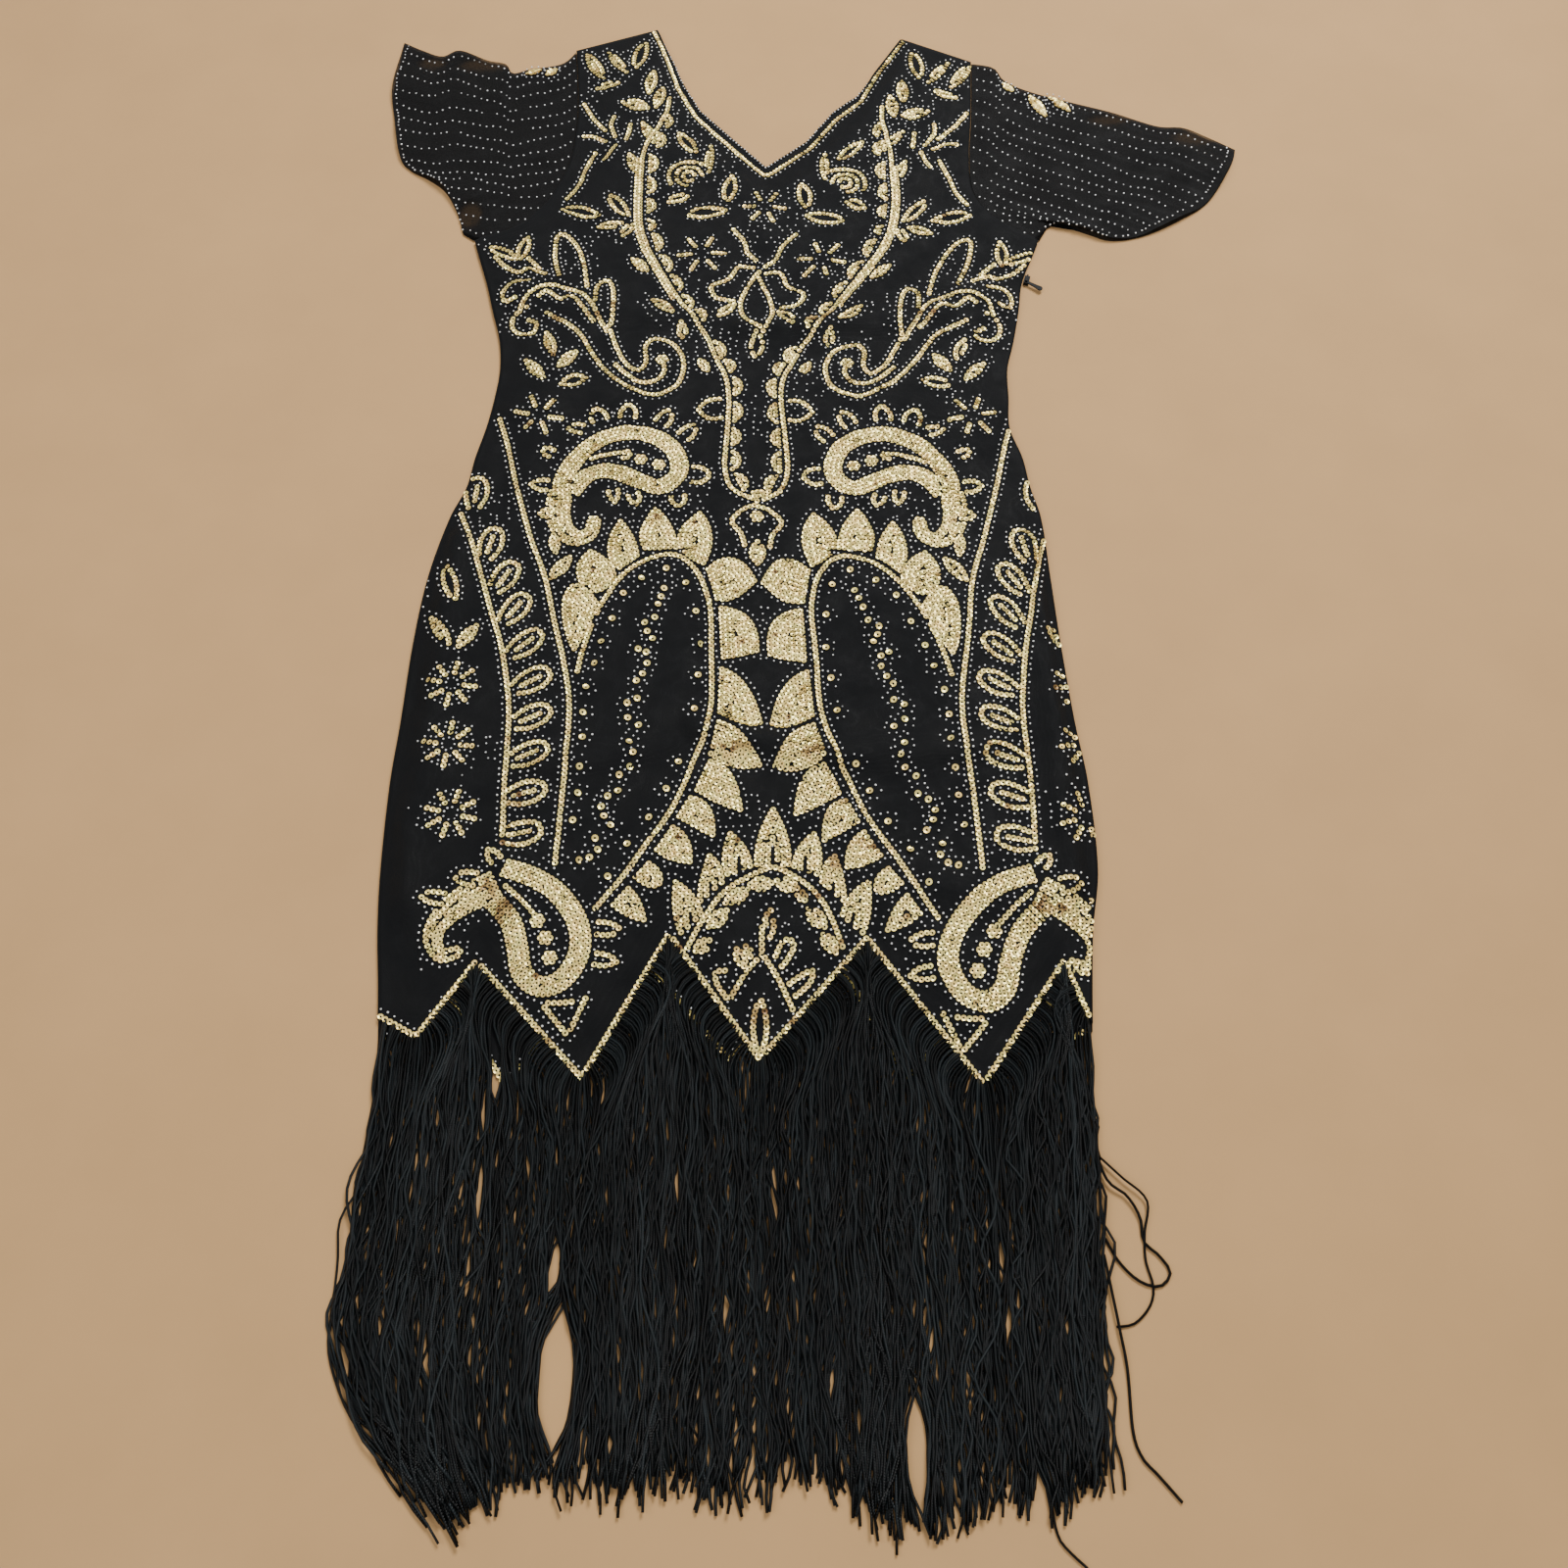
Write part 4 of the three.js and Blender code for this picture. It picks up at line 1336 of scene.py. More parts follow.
# x, down, turn, width, height
CHEVRONS = [
    (-148, 451, -75, 10, 12),
    (-131, 437, -20, 15, 13),
    (-107, 434, 0, 15, 13),
    (-77, 440, 30, 13, 14),
    (-58, 454, 40, 13, 14),
    (-48, 497, 95, 18, 13),
    (-172, 506, -85, 12, 12),
    (-168, 474, -60, 9, 8),
    (-114, 517, 170, 9, 10),
    (-98, 520, 160, 10, 9),
    (-65, 522, 175, 13, 10),
    (-165, 533, -95, 10, 9),
    (-199, 833, -80, 12, 14),
    (-220, 847, -80, 10, 16),
    (-100, 870, 95, 11, 15),
    (-101, 892, 100, 10, 14),
    (-182, 816, -40, 9, 9),
    (-43, 433, -95, 24, 17),
]
# Filled petals outside the arch: start, side, tip, other side, end, and a round back's middle
PETALS = [
    ((-148, 612), (-145, 636), (-136, 658), (-125, 632), (-120, 613), (-138, 596)),
    ((-134, 600), (-139, 582), (-130, 565), (-114, 577), (-108, 592), (-121, 605)),
    ((-110, 588), (-117, 562), (-108, 537), (-97, 554), (-92, 572)),
    ((-90, 567), (-93, 548), (-82, 526), (-69, 544), (-63, 566)),
    ((-61, 569), (-64, 550), (-48, 530), (-38, 553), (-43, 581), (-52, 577)),
    ((-43, 583), (-22, 573), (-4, 594), (-19, 610), (-35, 612)),
    ((-33, 616), (-9, 627), (-2, 656), (-15, 660), (-30, 663)),
    ((-31, 667), (-11, 683), (1, 715), (-11, 718), (-32, 708)),
    ((-32, 712), (-12, 724), (1, 748), (-18, 750), (-38, 739)),
    ((-37, 742), (-20, 755), (-12, 785), (-28, 779), (-47, 768)),
    ((-50, 771), (-35, 780), (-31, 804), (-43, 798), (-59, 788)),
    ((-61, 793), (-49, 804), (-46, 823), (-60, 821), (-73, 813)),
    ((-76, 820), (-67, 828), (-66, 838), (-74, 841), (-87, 833)),
    ((-89, 838), (-80, 849), (-75, 865), (-86, 863), (-101, 853)),
]
ARCH = [
    (-133, 672), (-129, 650), (-123, 627), (-114, 605), (-103, 588), (-90, 577), (-75, 571),
    (-65, 571), (-55, 578), (-47, 590), (-41, 607), (-38, 625), (-37, 655), (-36, 690), (-38, 712),
    (-44, 733), (-56, 769), (-67, 791), (-78, 808), (-93, 832), (-110, 855),
]
SINGLES = [
    (-103, 605), (-110, 627), (-117, 647), (-121, 665), (-126, 685), (-127, 706), (-126, 726),
    (-127, 748), (-127, 769), (-129, 790), (-123, 820), (-57, 596), (-49, 621), (-45, 649),
    (-46, 675), (-48, 703), (-58, 745), (-66, 766), (-77, 788), (-91, 808), (-103, 832), (-90, 592),
    (-72, 583), (-73, 601), (-75, 608), (-77, 615), (-79, 626), (-86, 631), (-84, 638), (-80, 644),
    (-90, 653), (-84, 656), (-83, 665), (-86, 674), (-90, 680), (-89, 694), (-96, 698), (-95, 710),
    (-87, 716), (-93, 730), (-90, 738), (-92, 748), (-99, 755), (-99, 768), (-106, 772),
    (-110, 780), (-108, 787), (-103, 794), (-113, 804), (-111, 812), (-116, 818),
]
BUST_BAND = [
    (-153, 522), (-154, 502), (-145, 482), (-130, 465), (-108, 456), (-88, 459), (-72, 470),
    (-65, 487), (-68, 500), (-80, 508), (-94, 503), (-108, 496), (-122, 493), (-136, 498),
    (-146, 512),
]
BUST_TAIL = [(-154, 508), (-156, 530), (-151, 548), (-140, 556), (-130, 551), (-128, 540)]
BUST_VEIN = [(-149, 500), (-144, 489), (-134, 482), (-120, 477), (-108, 475)]
HEM_BAND = [
    (-172, 826), (-152, 833), (-134, 846), (-121, 866), (-119, 886), (-128, 904), (-142, 910),
    (-155, 901), (-160, 882), (-166, 864), (-178, 850),
]
HEM_TAIL = [(-176, 838), (-196, 848), (-211, 862), (-216, 876), (-210, 888), (-200, 886)]
HEM_VEIN = [(-171, 839), (-161, 848), (-150, 860)]
# The big paisleys: band, tail, the tail's widths from its root to its tip, vein
BANDS = [
    (BUST_BAND, BUST_TAIL, [19, 20, 19, 17, 13, 11], BUST_VEIN),
    (HEM_BAND, HEM_TAIL, [24, 22, 20, 16, 12, 10], HEM_VEIN),
]
DISCS = [(-107, 477), (-95, 482), (-81, 487), (-82, 382), (-148, 864), (-142, 876), (-138, 890)]
DISC_RADIUS = 3.3
DAISY_EYE = 3.4
DAISY_RING = 12.5
# On the centre line
CENTRE_HOLLOW_LEAF = (-6, 350, -7, 380, 13)
CENTRE_DISC = (-5, 536)
CENTRE_LEAF = (-4.5, 558, -4, 580, 12)
# The rose's middle, and its arcs as radius, from and to which angle
ROSE = (-66, 178)
ROSE_ARCS = [(5, 60, 330), (11, 100, 350), (17.5, 150, 330)]
FAN_CENTRE = 7.5
FAN_ARCH = [
    (-48, 883), (-42, 870), (-35, 858), (-27, 846), (-18, 838), (-8, 832), (2, 827), (8, 825),
    (16, 828), (24, 833), (33, 840), (41, 850), (47, 862), (54, 882),
]
# The crown's petals, the middle one and those left of it: tip, left foot, right foot, slit's top
CROWN_MIDDLE = ((8, 778), (-5, 826), (21, 826), (8, 809))
CROWN = [
    ((-22, 797), (-24, 833), (-5, 826), (-15, 817)),
    ((-36, 814), (-42, 854), (-24, 837), (-34, 836)),
    ((-59, 833), (-53, 876), (-37, 860), (-47, 858)),
]
FAN_LEAVES = [
    (-8, 838, 8, 837, 11),
    (10, 835, 25, 841, 11),
    (-8, 841, -24, 852, 11),
    (-22, 856, -35, 869, 11),
    (-33, 877, -43, 886, 10),
    (24, 842, 30, 850, 8),
    (31, 855, 43, 869, 11),
    (41, 873, 50, 887, 10),
    (3, 868, 7, 855, 6),
    (9, 862, 6, 878, 5),
    (-16, 883, -10, 897, 8),
    (-10, 881, -6, 890, 6),
]
# Stems that cross, and the leaves in their forks
FAN_LINES = [
    [(1, 869), (1, 888)],
    [(0, 889), (-9, 900), (-19, 917)],
    [(3, 890), (12, 905), (21, 925)],
    [(10, 889), (14, 880), (19, 877), (22, 882), (18, 891), (14, 896)],
    [(19, 908), (27, 902), (34, 899), (33, 906), (28, 912), (23, 916)],
    [(-23, 899), (-29, 900), (-28, 908), (-22, 917)],
]
FAN_DROP = (0, 956, 0, 918, 12)


# Folds that turn their sequins from the light: x, down, half width, half height
SHADED = [
    (-22, 738, 15, 3.5),
    (41, 743, 14, 3.5),
    (58, 776, 8, 4),
    (70, 812, 7, 4),
    (8, 864, 5, 9),
    (50, 822, 5, 7),
    (26, 848, 5, 5),
    (37, 847, 4, 5),
    (-12, 885, 5, 5),
    (-18, 912, 3, 7),
    (0, 934, 5, 7),
    (23, 937, 4, 4),
    (-23, 936, 4, 4),
    (-150, 346, 22, 4),
    (-110, 334, 18, 4),
    (40, 348, 14, 4),
    (96, 358, 12, 4),
    (135, 345, 20, 4),
    (-80, 325, 8, 5),
    (-178, 842, 8, 8),
    (-168, 860, 6, 9),
    (-170, 782, 7, 4),
    (-40, 745, 4, 5),
    (-65, 735, 3, 4),
    (-170, 733, 9, 4),
    (160, 740, 12, 4),
    (190, 856, 12, 6),
    (203, 700, 5, 22),
]


def mirror(points):
    """A place of the left half, on the right half."""
    points = np.array(points, float)
    down = points[:, 1].copy()
    points[:, 0] = 2 * smooth(CENTRE_LINE, down, 1) - points[:, 0]
    points[:, 1] = down + smooth(CENTRE_LINE, down, 2)
    if points.shape[1] > 2:
        points[:, 2] = math.pi - points[:, 2]
    return points


def raised(points):
    """Places read off the photo as if on the floor, where they lie on the higher cloth."""
    points = np.array(points, float)
    height = front_height(points[:, 0], points[:, 1]) + REAL_RISE
    nearer = 1 - height[:, None] / EYE_HEIGHT
    points[:, :2] = EYE + (points[:, :2] - EYE) * nearer
    return points


def rose():
    parts = []
    for radius, start, end in ROSE_ARCS:
        angles = np.radians(np.linspace(start, end, 14))
        arc = np.column_stack([np.cos(angles), np.sin(angles)])
        parts.append(line(ROSE + radius * arc))
    return gathered(parts)


def at_ends(make, row):
    """A motif made from a table's row: both ends, then its width."""
    return make(row[:2], row[2:4], row[4])


def fan():
    """The arch at the centre of the hem, with its crown and the leaves below it."""
    parts = [line(FAN_ARCH), slit_petal(*CROWN_MIDDLE)]
    for tip, left, right, slit in CROWN:
        parts.append(slit_petal(tip, left, right, slit))
        over = [(2 * FAN_CENTRE - x, down) for x, down in (tip, right, left, slit)]
        parts.append(slit_petal(*over))
    parts += [at_ends(leaf, row) for row in FAN_LEAVES]
    parts += [line(points) for points in FAN_LINES]
    parts.append(at_ends(hollow_leaf, FAN_DROP))
    return gathered(parts)


def left_half():
    parts = [line(VINE)]
    parts.append(line([(x - 3.6, down + 1) for x, down in VINE_DOUBLE]))
    parts += [at_ends(leaf, row) for row in SOLID_LEAVES]
    parts += [at_ends(hollow_leaf, row) for row in HOLLOW_LEAVES]
    parts += [line(points) for points in LINES]
    parts.append(line(BELL))
    parts.append(line(HEM_POINT, straight_through=True))
    parts += [daisy(*row) for row in DAISIES]
    parts += [horseshoe(*row) for row in HORSESHOES]
    parts += [chevron(*row) for row in CHEVRONS]
    parts += [petal(*row) for row in PETALS]
    parts += [at_ends(scallop, row) for row in SCALLOPS]
    parts.append(line(ARCH))
    parts += [loose_beads(x, down) for x, down in SINGLES]
    for band, tail, widths, vein in BANDS:
        parts.append(line(band, rows=4))
        parts.append(stroke(tail, widths))
        parts.append(line(vein))
    parts += [disc(*row) for row in DISCS]
    parts.append(rose())
    return gathered(parts)


HEM_INSET = 2.2
HEM_BEAD_RISE = 4.6  # from the hem's sequins to its beads
SEQUIN_CLEARANCE = 2.75
BEAD_CLEARANCE = 2.9
SEQUIN_MARGIN = 1.4  # to the front's edges
BEAD_MARGIN = 1.0
HEM_OVERHANG = 1.5  # how much nearer the hem trims may lie
# Loose beads between the motifs: their pitch, how even it is, and how far from sequins they lie
STREWN_PITCH = (6.8, 6.3)
STREWN_SPREAD = 1.2
STREWN_REACH = (7, 14)
STREWN_FROM = 0.62  # how high the patches' waves stand where beads begin


def hem_line(hem):
    """The row of sequins along a zigzag hem."""
    return resample(np.array(hem, float), np.linspace(0, 1, 900)) - (0, HEM_INSET)


def thinned(places, gap, taken=()):
    """Leaves out places closer than gap to one kept before, or to what is taken."""
    cells = {}

    def cell(point):
        return int(point[0] // gap), int(point[1] // gap)

    for point in taken:
        cells.setdefault(cell(point), []).append(point)
    kept = []
    for point in places:
        cx, cy = cell(point)
        near = [cells.get((cx + i, cy + j), ()) for i in (-1, 0, 1) for j in (-1, 0, 1)]
        if all(math.hypot(point[0] - o[0], point[1] - o[1]) >= gap for some in near for o in some):
            cells.setdefault((cx, cy), []).append(point)
            kept.append(point)
    return np.array(kept)


def on_front(places, margin):
    """The places that lie on the front, margin inside its edges."""
    x, down = places[:, 0], places[:, 1]
    keep = (
        (x > edge_at("left", down) + margin)
        & (x < edge_at("right", down) - margin)
        & (down > front_top(x) + margin)
        & (down < straight(HEM, x) - margin + HEM_OVERHANG)
    )
    return places[keep]


def strewn(sequins):
    """Loose beads in uneven patches between the motifs."""
    ways = np.arange(-246, 228, STREWN_PITCH[0]), np.arange(24, 950, STREWN_PITCH[1])
    x, down = np.stack(np.meshgrid(*ways)).reshape(2, -1)
    patch = np.sin(x / 23 + 1) * np.sin(down / 31) + 0.6 * np.sin((x + down) / 17)
    patch = patch + 0.5 * np.sin((x - 1.3 * down) / 41 + 2)
    off_centre = np.abs(x - smooth(CENTRE_LINE, down, 1))
    in_arch = (down > 575) & (down < 862) & (off_centre > 34) & (off_centre < 136)
    in_corner = (x < -222) & (down > 800)
    keep = (patch > STREWN_FROM) & ~in_arch & ~in_corner
    places = np.column_stack([x[keep], down[keep]])
    places = places + generator(17).normal(0, STREWN_SPREAD, places.shape)
    near = kdtree.KDTree(len(sequins))
    for i, (a, b, _) in enumerate(sequins):
        near.insert((a, b, 0), i)
    near.balance()
    far = np.array([near.find((a, b, 0))[2] for a, b in places])
    return places[(far > STREWN_REACH[0]) & (far < STREWN_REACH[1])]


def hem_rows(curve):
    """Sequins along a hem's line and beads above them."""
    beads = steps(curve - (0, HEM_BEAD_RISE), in_mm("bead_pitch"))
    return steps(curve, in_mm("sequin_pitch")), beads[:, :2]


def embroidery_places():
    """All sequins as x, down, direction, and all beads as x, down, on the front."""
    left = left_half()
    right = (mirror(left[0]), mirror(left[1]))
    middle = [daisy(*CENTRE_DAISY), at_ends(hollow_leaf, CENTRE_HOLLOW_LEAF)]
    middle += [disc(*CENTRE_DISC), at_ends(leaf, CENTRE_LEAF), fan()]
    middle = gathered(middle)
    corners = resample(np.array(UPPER_EDGE[1:-1], float), np.linspace(0, 1, 500))
    neck = line(beside(corners, -NECK_INSET), straight_through=True)
    edges = gathered([neck, hem_rows(hem_line(HEM))])
    sequins, beads = (
        np.vstack([edges[k], *(raised(part[k]) for part in (middle, left, right))])
        for k in range(2)
    )
    singles = np.array([(x, down, 0) for x, down in SINGLES], float)
    loose = raised(np.vstack([singles, mirror(singles)]))
    sequins = on_front(thinned(sequins, SEQUIN_CLEARANCE), SEQUIN_MARGIN)
    beads = np.vstack([beads, strewn(sequins)])
    beads = thinned(beads, BEAD_CLEARANCE, np.vstack([sequins, loose]))
    return sequins, on_front(beads, BEAD_MARGIN), loose


def unit(vectors):
    return vectors / np.maximum(np.linalg.norm(vectors, axis=-1), 1e-9)[..., None]


def surface_frames(x, down, angle, height, generate, tilt):
    """Axes of small trims that lie on the cloth: along their row, across, and out."""
    e = 0.6
    slope_x = (height(x + e, down) - height(x - e, down)) / (2 * e)
    slope_y = -(height(x, down + e) - height(x, down - e)) / (2 * e)
    count = len(x)
    lean = np.radians(tilt)
    lean_x = generate.normal(0, lean, count)
    lean_y = generate.normal(0, lean, count)
    out = unit(np.column_stack([lean_x - slope_x, lean_y - slope_y, np.ones(count)]))
    along = np.column_stack([np.cos(angle), -np.sin(angle), np.zeros(count)])
    along = unit(along - out * np.sum(along * out, axis=1)[:, None])
    return along, np.cross(out, along), out


def sequin_template():
    """A cupped sequin: a round drawn in towards its hole, the rim raised."""
    bm = bmesh.new()
    bmesh.ops.create_circle(bm, radius=SEQUIN_HOLE, segments=SEQUIN_SIDES)
    grown = bmesh.ops.extrude_edge_only(bm, edges=bm.edges[:])["geom"]
    rim = [g for g in grown if isinstance(g, bmesh.types.BMVert)]
    bmesh.ops.scale(bm, verts=rim, vec=(1 / SEQUIN_HOLE, 1 / SEQUIN_HOLE, 1))
    bmesh.ops.translate(bm, verts=rim, vec=(0, 0, SEQUIN_CUP))
    bmesh.ops.recalc_face_normals(bm, faces=bm.faces)
    if sum(face.normal.z for face in bm.faces) < 0:
        bmesh.ops.reverse_faces(bm, faces=bm.faces)
    bm.verts.ensure_lookup_table()
    return bm


def scatter_sequins(name, places, height, seed, lift=0.25, tilt=7, larger=1.0):
    generate = generator(seed)
    template = sequin_template()
    radius = in_mm("sequin_diameter") / 2 * larger
    shape = np.array([vertex.co for vertex in template.verts]) * radius
    x, down, angle = places.T
    along, across, out = surface_frames(x, down, angle, height, generate, tilt)
    # Each lies a little over the next along its row.
    out = unit(out + SEQUIN_OVERLAP * along)
    along = np.cross(across, out)
    centre = world(x, down, height(x, down) + lift)
    axes = np.stack([along, across, out], axis=1)
    points = centre[:, None] + shape[None] @ axes * MM
    tone = np.clip(generate.normal(0.62, 0.17, len(x)), 0.25, 1)
    # A few sequins at random have lost their foil to bronze; in the SHADED folds the bronze is painted
    # shade, for sequins that face away from the light.
    worn_and_shaded = generate.random(len(x)) < WORN_SHARE + 0.85 * in_ovals(SHADED, x, down, 1.6)
    tone[worn_and_shaded] = generate.uniform(0, 0.22, worn_and_shaded.sum())
    mesh = stamped(name, template, points, {"tone": tone})
    template.free()
    add_piece(name, mesh, bpy.data.materials["gold_foil_sequin"])


def scatter_beads(name, places, height, seed, lift=0.75):
    generate = generator(seed)
    template = bmesh.new()
    bmesh.ops.create_icosphere(template, subdivisions=1, radius=1)
    bmesh.ops.scale(template, verts=template.verts, vec=(1, 1, BEAD_FLATNESS))
    shape = np.array([vertex.co for vertex in template.verts])
    x, down = places[:, 0], places[:, 1]
    radius = in_mm("bead_diameter") / 2 * generate.uniform(0.85, 1.12, len(x))
    x = x + generate.normal(0, BEAD_PLAY, len(x))
    down = down + generate.normal(0, BEAD_PLAY, len(x))
    turn = generate.uniform(0, 2 * math.pi, len(x))
    level = np.zeros(len(x))
    along = np.column_stack([np.cos(turn), np.sin(turn), level])
    across = np.column_stack([-np.sin(turn), np.cos(turn), level])
    axes = np.stack([along, across, np.cross(along, across)], axis=1)
    centre = world(x, down, height(x, down) + lift)
    points = centre[:, None] + shape[None] @ axes * radius[:, None, None] * MM
    tone = np.clip(generate.normal(0.55, 0.25, len(x)), 0.05, 1)
    mesh = stamped(name, template, points, {"tone": tone})
    template.free()
    add_piece(name, mesh, bpy.data.materials["silver_lined_bead"])


SLEEVE_ROWS = 15
SLEEVE_PITCH = 6.2
SLEEVE_PLAY = 0.35
SLEEVE_CLEARANCE = 3.2
CUFF_ROW = 0.975  # the share of a sleeve's length where the cuff's beads lie
CUFF_PITCH = 4.4
BEADS_LOST = 0.04
BACK_NECK_PITCH = 3.6
SLEEVE_LEAVES = {
    "left": [(-214, 56, -202, 50, 8), (-196, 58, -188, 50, 7)],
    "right": [(232, 84, 245, 110, 9), (250, 84, 266, 104, 9), (210, 69, 218, 78, 7)],
}
SKIRT_STARTS = 500  # where the embroidery's two pieces part, down from the neck


class DRESS_OT_embroidery(bpy.types.Operator):
    """Sew the sequins and beads on the front, the sleeves and the back's edges"""

    bl_idname = "dress.embroidery"
    bl_label = "Embroidery"

    def execute(self, context):
        sequin_material()
        bead_material()
        sequins, beads, loose = embroidery_places()
        for part, low, high in (("bodice", -20, SKIRT_STARTS), ("skirt", SKIRT_STARTS, 1100)):
            own, its = ((some[:, 1] >= low) & (some[:, 1] < high) for some in (sequins, beads))
            scatter_sequins(part + "_sequins", sequins[own], front_height, 11)
            scatter_beads(part + "_beads", beads[its], front_height, 12)
        scatter_sequins("loose_sequins", loose, front_height, 14, lift=0.5, tilt=9, larger=1.22)
        self.back_trim()
        self.sleeve_beads()
        return {"FINISHED"}

    def back_trim(self):
        """The back's neckline beads, and the sequins and beads along its hem."""
        xs = np.linspace(-NECK_HALF_WIDTH, UPPER_EDGE[-2][0] - 3, 400)
        neck = np.column_stack([xs, back_top(xs) + 2.2])
        hem = hem_line(BACK_HEM)
        x, down = hem.T
        shown = (x > edge_at("left", down) + 3) & (x < edge_at("right", down) - 3)
        sequins, beads = hem_rows(hem[shown])
        beads = np.vstack([steps(neck, BACK_NECK_PITCH)[:, :2], beads])
        scatter_sequins("back_hem_sequins", sequins, back_height, 21, lift=0.15, tilt=3)
        scatter_beads("back_edge_beads", beads, back_height, 22)

    def sleeve_beads(self):
        """Rows of beads from cuff to armhole, the cuff's own row, and leaves at the shoulder."""
        for side, seed in (("left", 31), ("right", 32)):
            patch = SleevePatch(side)
            generate = generator(seed)
            along, across = np.meshgrid(np.linspace(0, 1, 90), np.linspace(0, 1, 160))
            along, across = along.ravel(), across.ravel()
            flat, tall = patch.at(along, across), patch.height(along, across)

            def height(x, down):
                places = np.column_stack([x, down])
                nearest = [np.argmin(((flat - place) ** 2).sum(axis=1)) for place in places]
                return tall[nearest]

            spots = []
            run = np.linspace(0.02, CUFF_ROW, 60)
            for k, share in enumerate(np.linspace(0.03, 0.97, SLEEVE_ROWS)):
                wave = share + 0.006 * np.sin(9 * run + 1.7 * k) + 0.01 * ease(run * 2)
                row = patch.at(run, np.clip(wave, 0.02, 0.98))
                spots.append(steps(row, SLEEVE_PITCH)[:, :2])
            cuff = patch.at(np.full(90, CUFF_ROW), np.linspace(0.01, 0.99, 90))
            spots.append(steps(cuff, CUFF_PITCH)[:, :2])
            spots = np.vstack(spots)
            spots = spots + generate.normal(0, SLEEVE_PLAY, spots.shape)
            spots = thinned(spots[generate.random(len(spots)) > BEADS_LOST], SLEEVE_CLEARANCE)
            leaves = gathered([at_ends(leaf, row) for row in SLEEVE_LEAVES[side]])
            scatter_sequins("sleeve_" + side + "_sequins", leaves[0], height, seed + 2, lift=0.5)
            spots = np.vstack([spots, leaves[1]])
            scatter_beads("sleeve_" + side + "_beads", spots, height, seed, lift=0.5)


CORD_SIDES = 5
CORD_RINGS = 36
CORD_TONE = 0.3
CORD_TONE_SPREAD = 0.21
# Where the cords end: x, down
FRINGE_ENDS = [
    (-246, 1168), (-222, 1186), (-198, 1200), (-184, 1217), (-172, 1229), (-157, 1221),
    (-140, 1205), (-120, 1212), (-98, 1209), (-70, 1215), (-50, 1207), (-24, 1214), (9, 1207),
    (28, 1199), (49, 1216), (68, 1226), (95, 1226), (119, 1228), (135, 1216), (168, 1219),
    (200, 1207),
]
CLOSING_REACH = 55  # how far below the hem cords close up
SQUARE_EASE = 20  # how far from the hem's corners cords leave it square
LENGTH_SPREAD = (6, 5, 10)  # added to a cord: mean, spread, and how much it is cut short
HEADER_REACH = 12  # how far a cord leaves the hem square to it
# Where the floor shows between the cords: x, down from, down to, half width
FRINGE_GAPS = [
    (-166, 930, 1002, 3),
    (-170, 1005, 1080, 2),
    (-121, 1060, 1112, 3),
    (-117, 1092, 1208, 10),
    (91, 1140, 1236, 6),
    (-70, 1190, 1260, 3),
    (20, 1195, 1260, 3),
    (160, 1190, 1250, 4),
]
# How each cord wanders by itself: half waves along it, mm, the share where it is in full
CORD_WAVES = [(2.0, 2.4, 0.9), (4.5, 2.4, 0.5), (8.0, 1.9, 0.35), (14.0, 1.2, 0.25)]
# Cords lie in layers, and the cords of a layer drift together: width in mm, drift in mm, speed
CORD_LAYERS = 4
CORD_DRIFTS = [(61, 4.2, 3.0), (25, 4.0, 8.0), (11, 2.0, 15.0)]
RIGHT_DRIFT, RIGHT_START, RIGHT_REACH = 12, 150, 60
ROOT_INSET = 1.5
HEADER_SHARE = 0.09
HEADER_RINGS = 6
TURN_FADE = 11
CLOSING = 0.9
SWING = 40
SWING_REACH = 130
SWING_COURSE = [(0, 0), (0.55, -0.1), (0.7, -0.19), (0.82, 0.05), (0.94, 0.42), (1, 0.85)]
STRAYS = [
    [
        (204, 1000), (212, 1034), (224, 1045), (231, 1058), (232, 1072), (240, 1080), (246, 1090),
        (239, 1098), (227, 1095), (216, 1084), (209, 1070),
    ],
    [
        (208, 1020), (222, 1034), (236, 1048), (233, 1067), (232, 1083), (235, 1098), (232, 1109),
        (222, 1119), (211, 1121),
    ],
    [(207, 1080), (212, 1120), (215, 1145), (215, 1178), (219, 1192), (227, 1201), (239, 1215)],
    [(150, 1120), (160, 1180), (165, 1214), (168, 1232), (174, 1240), (183, 1248)],
    [
        (-236, 1020), (-237, 1063), (-241, 1084), (-247, 1100), (-248, 1118), (-244, 1134),
        (-238, 1150),
    ],
]


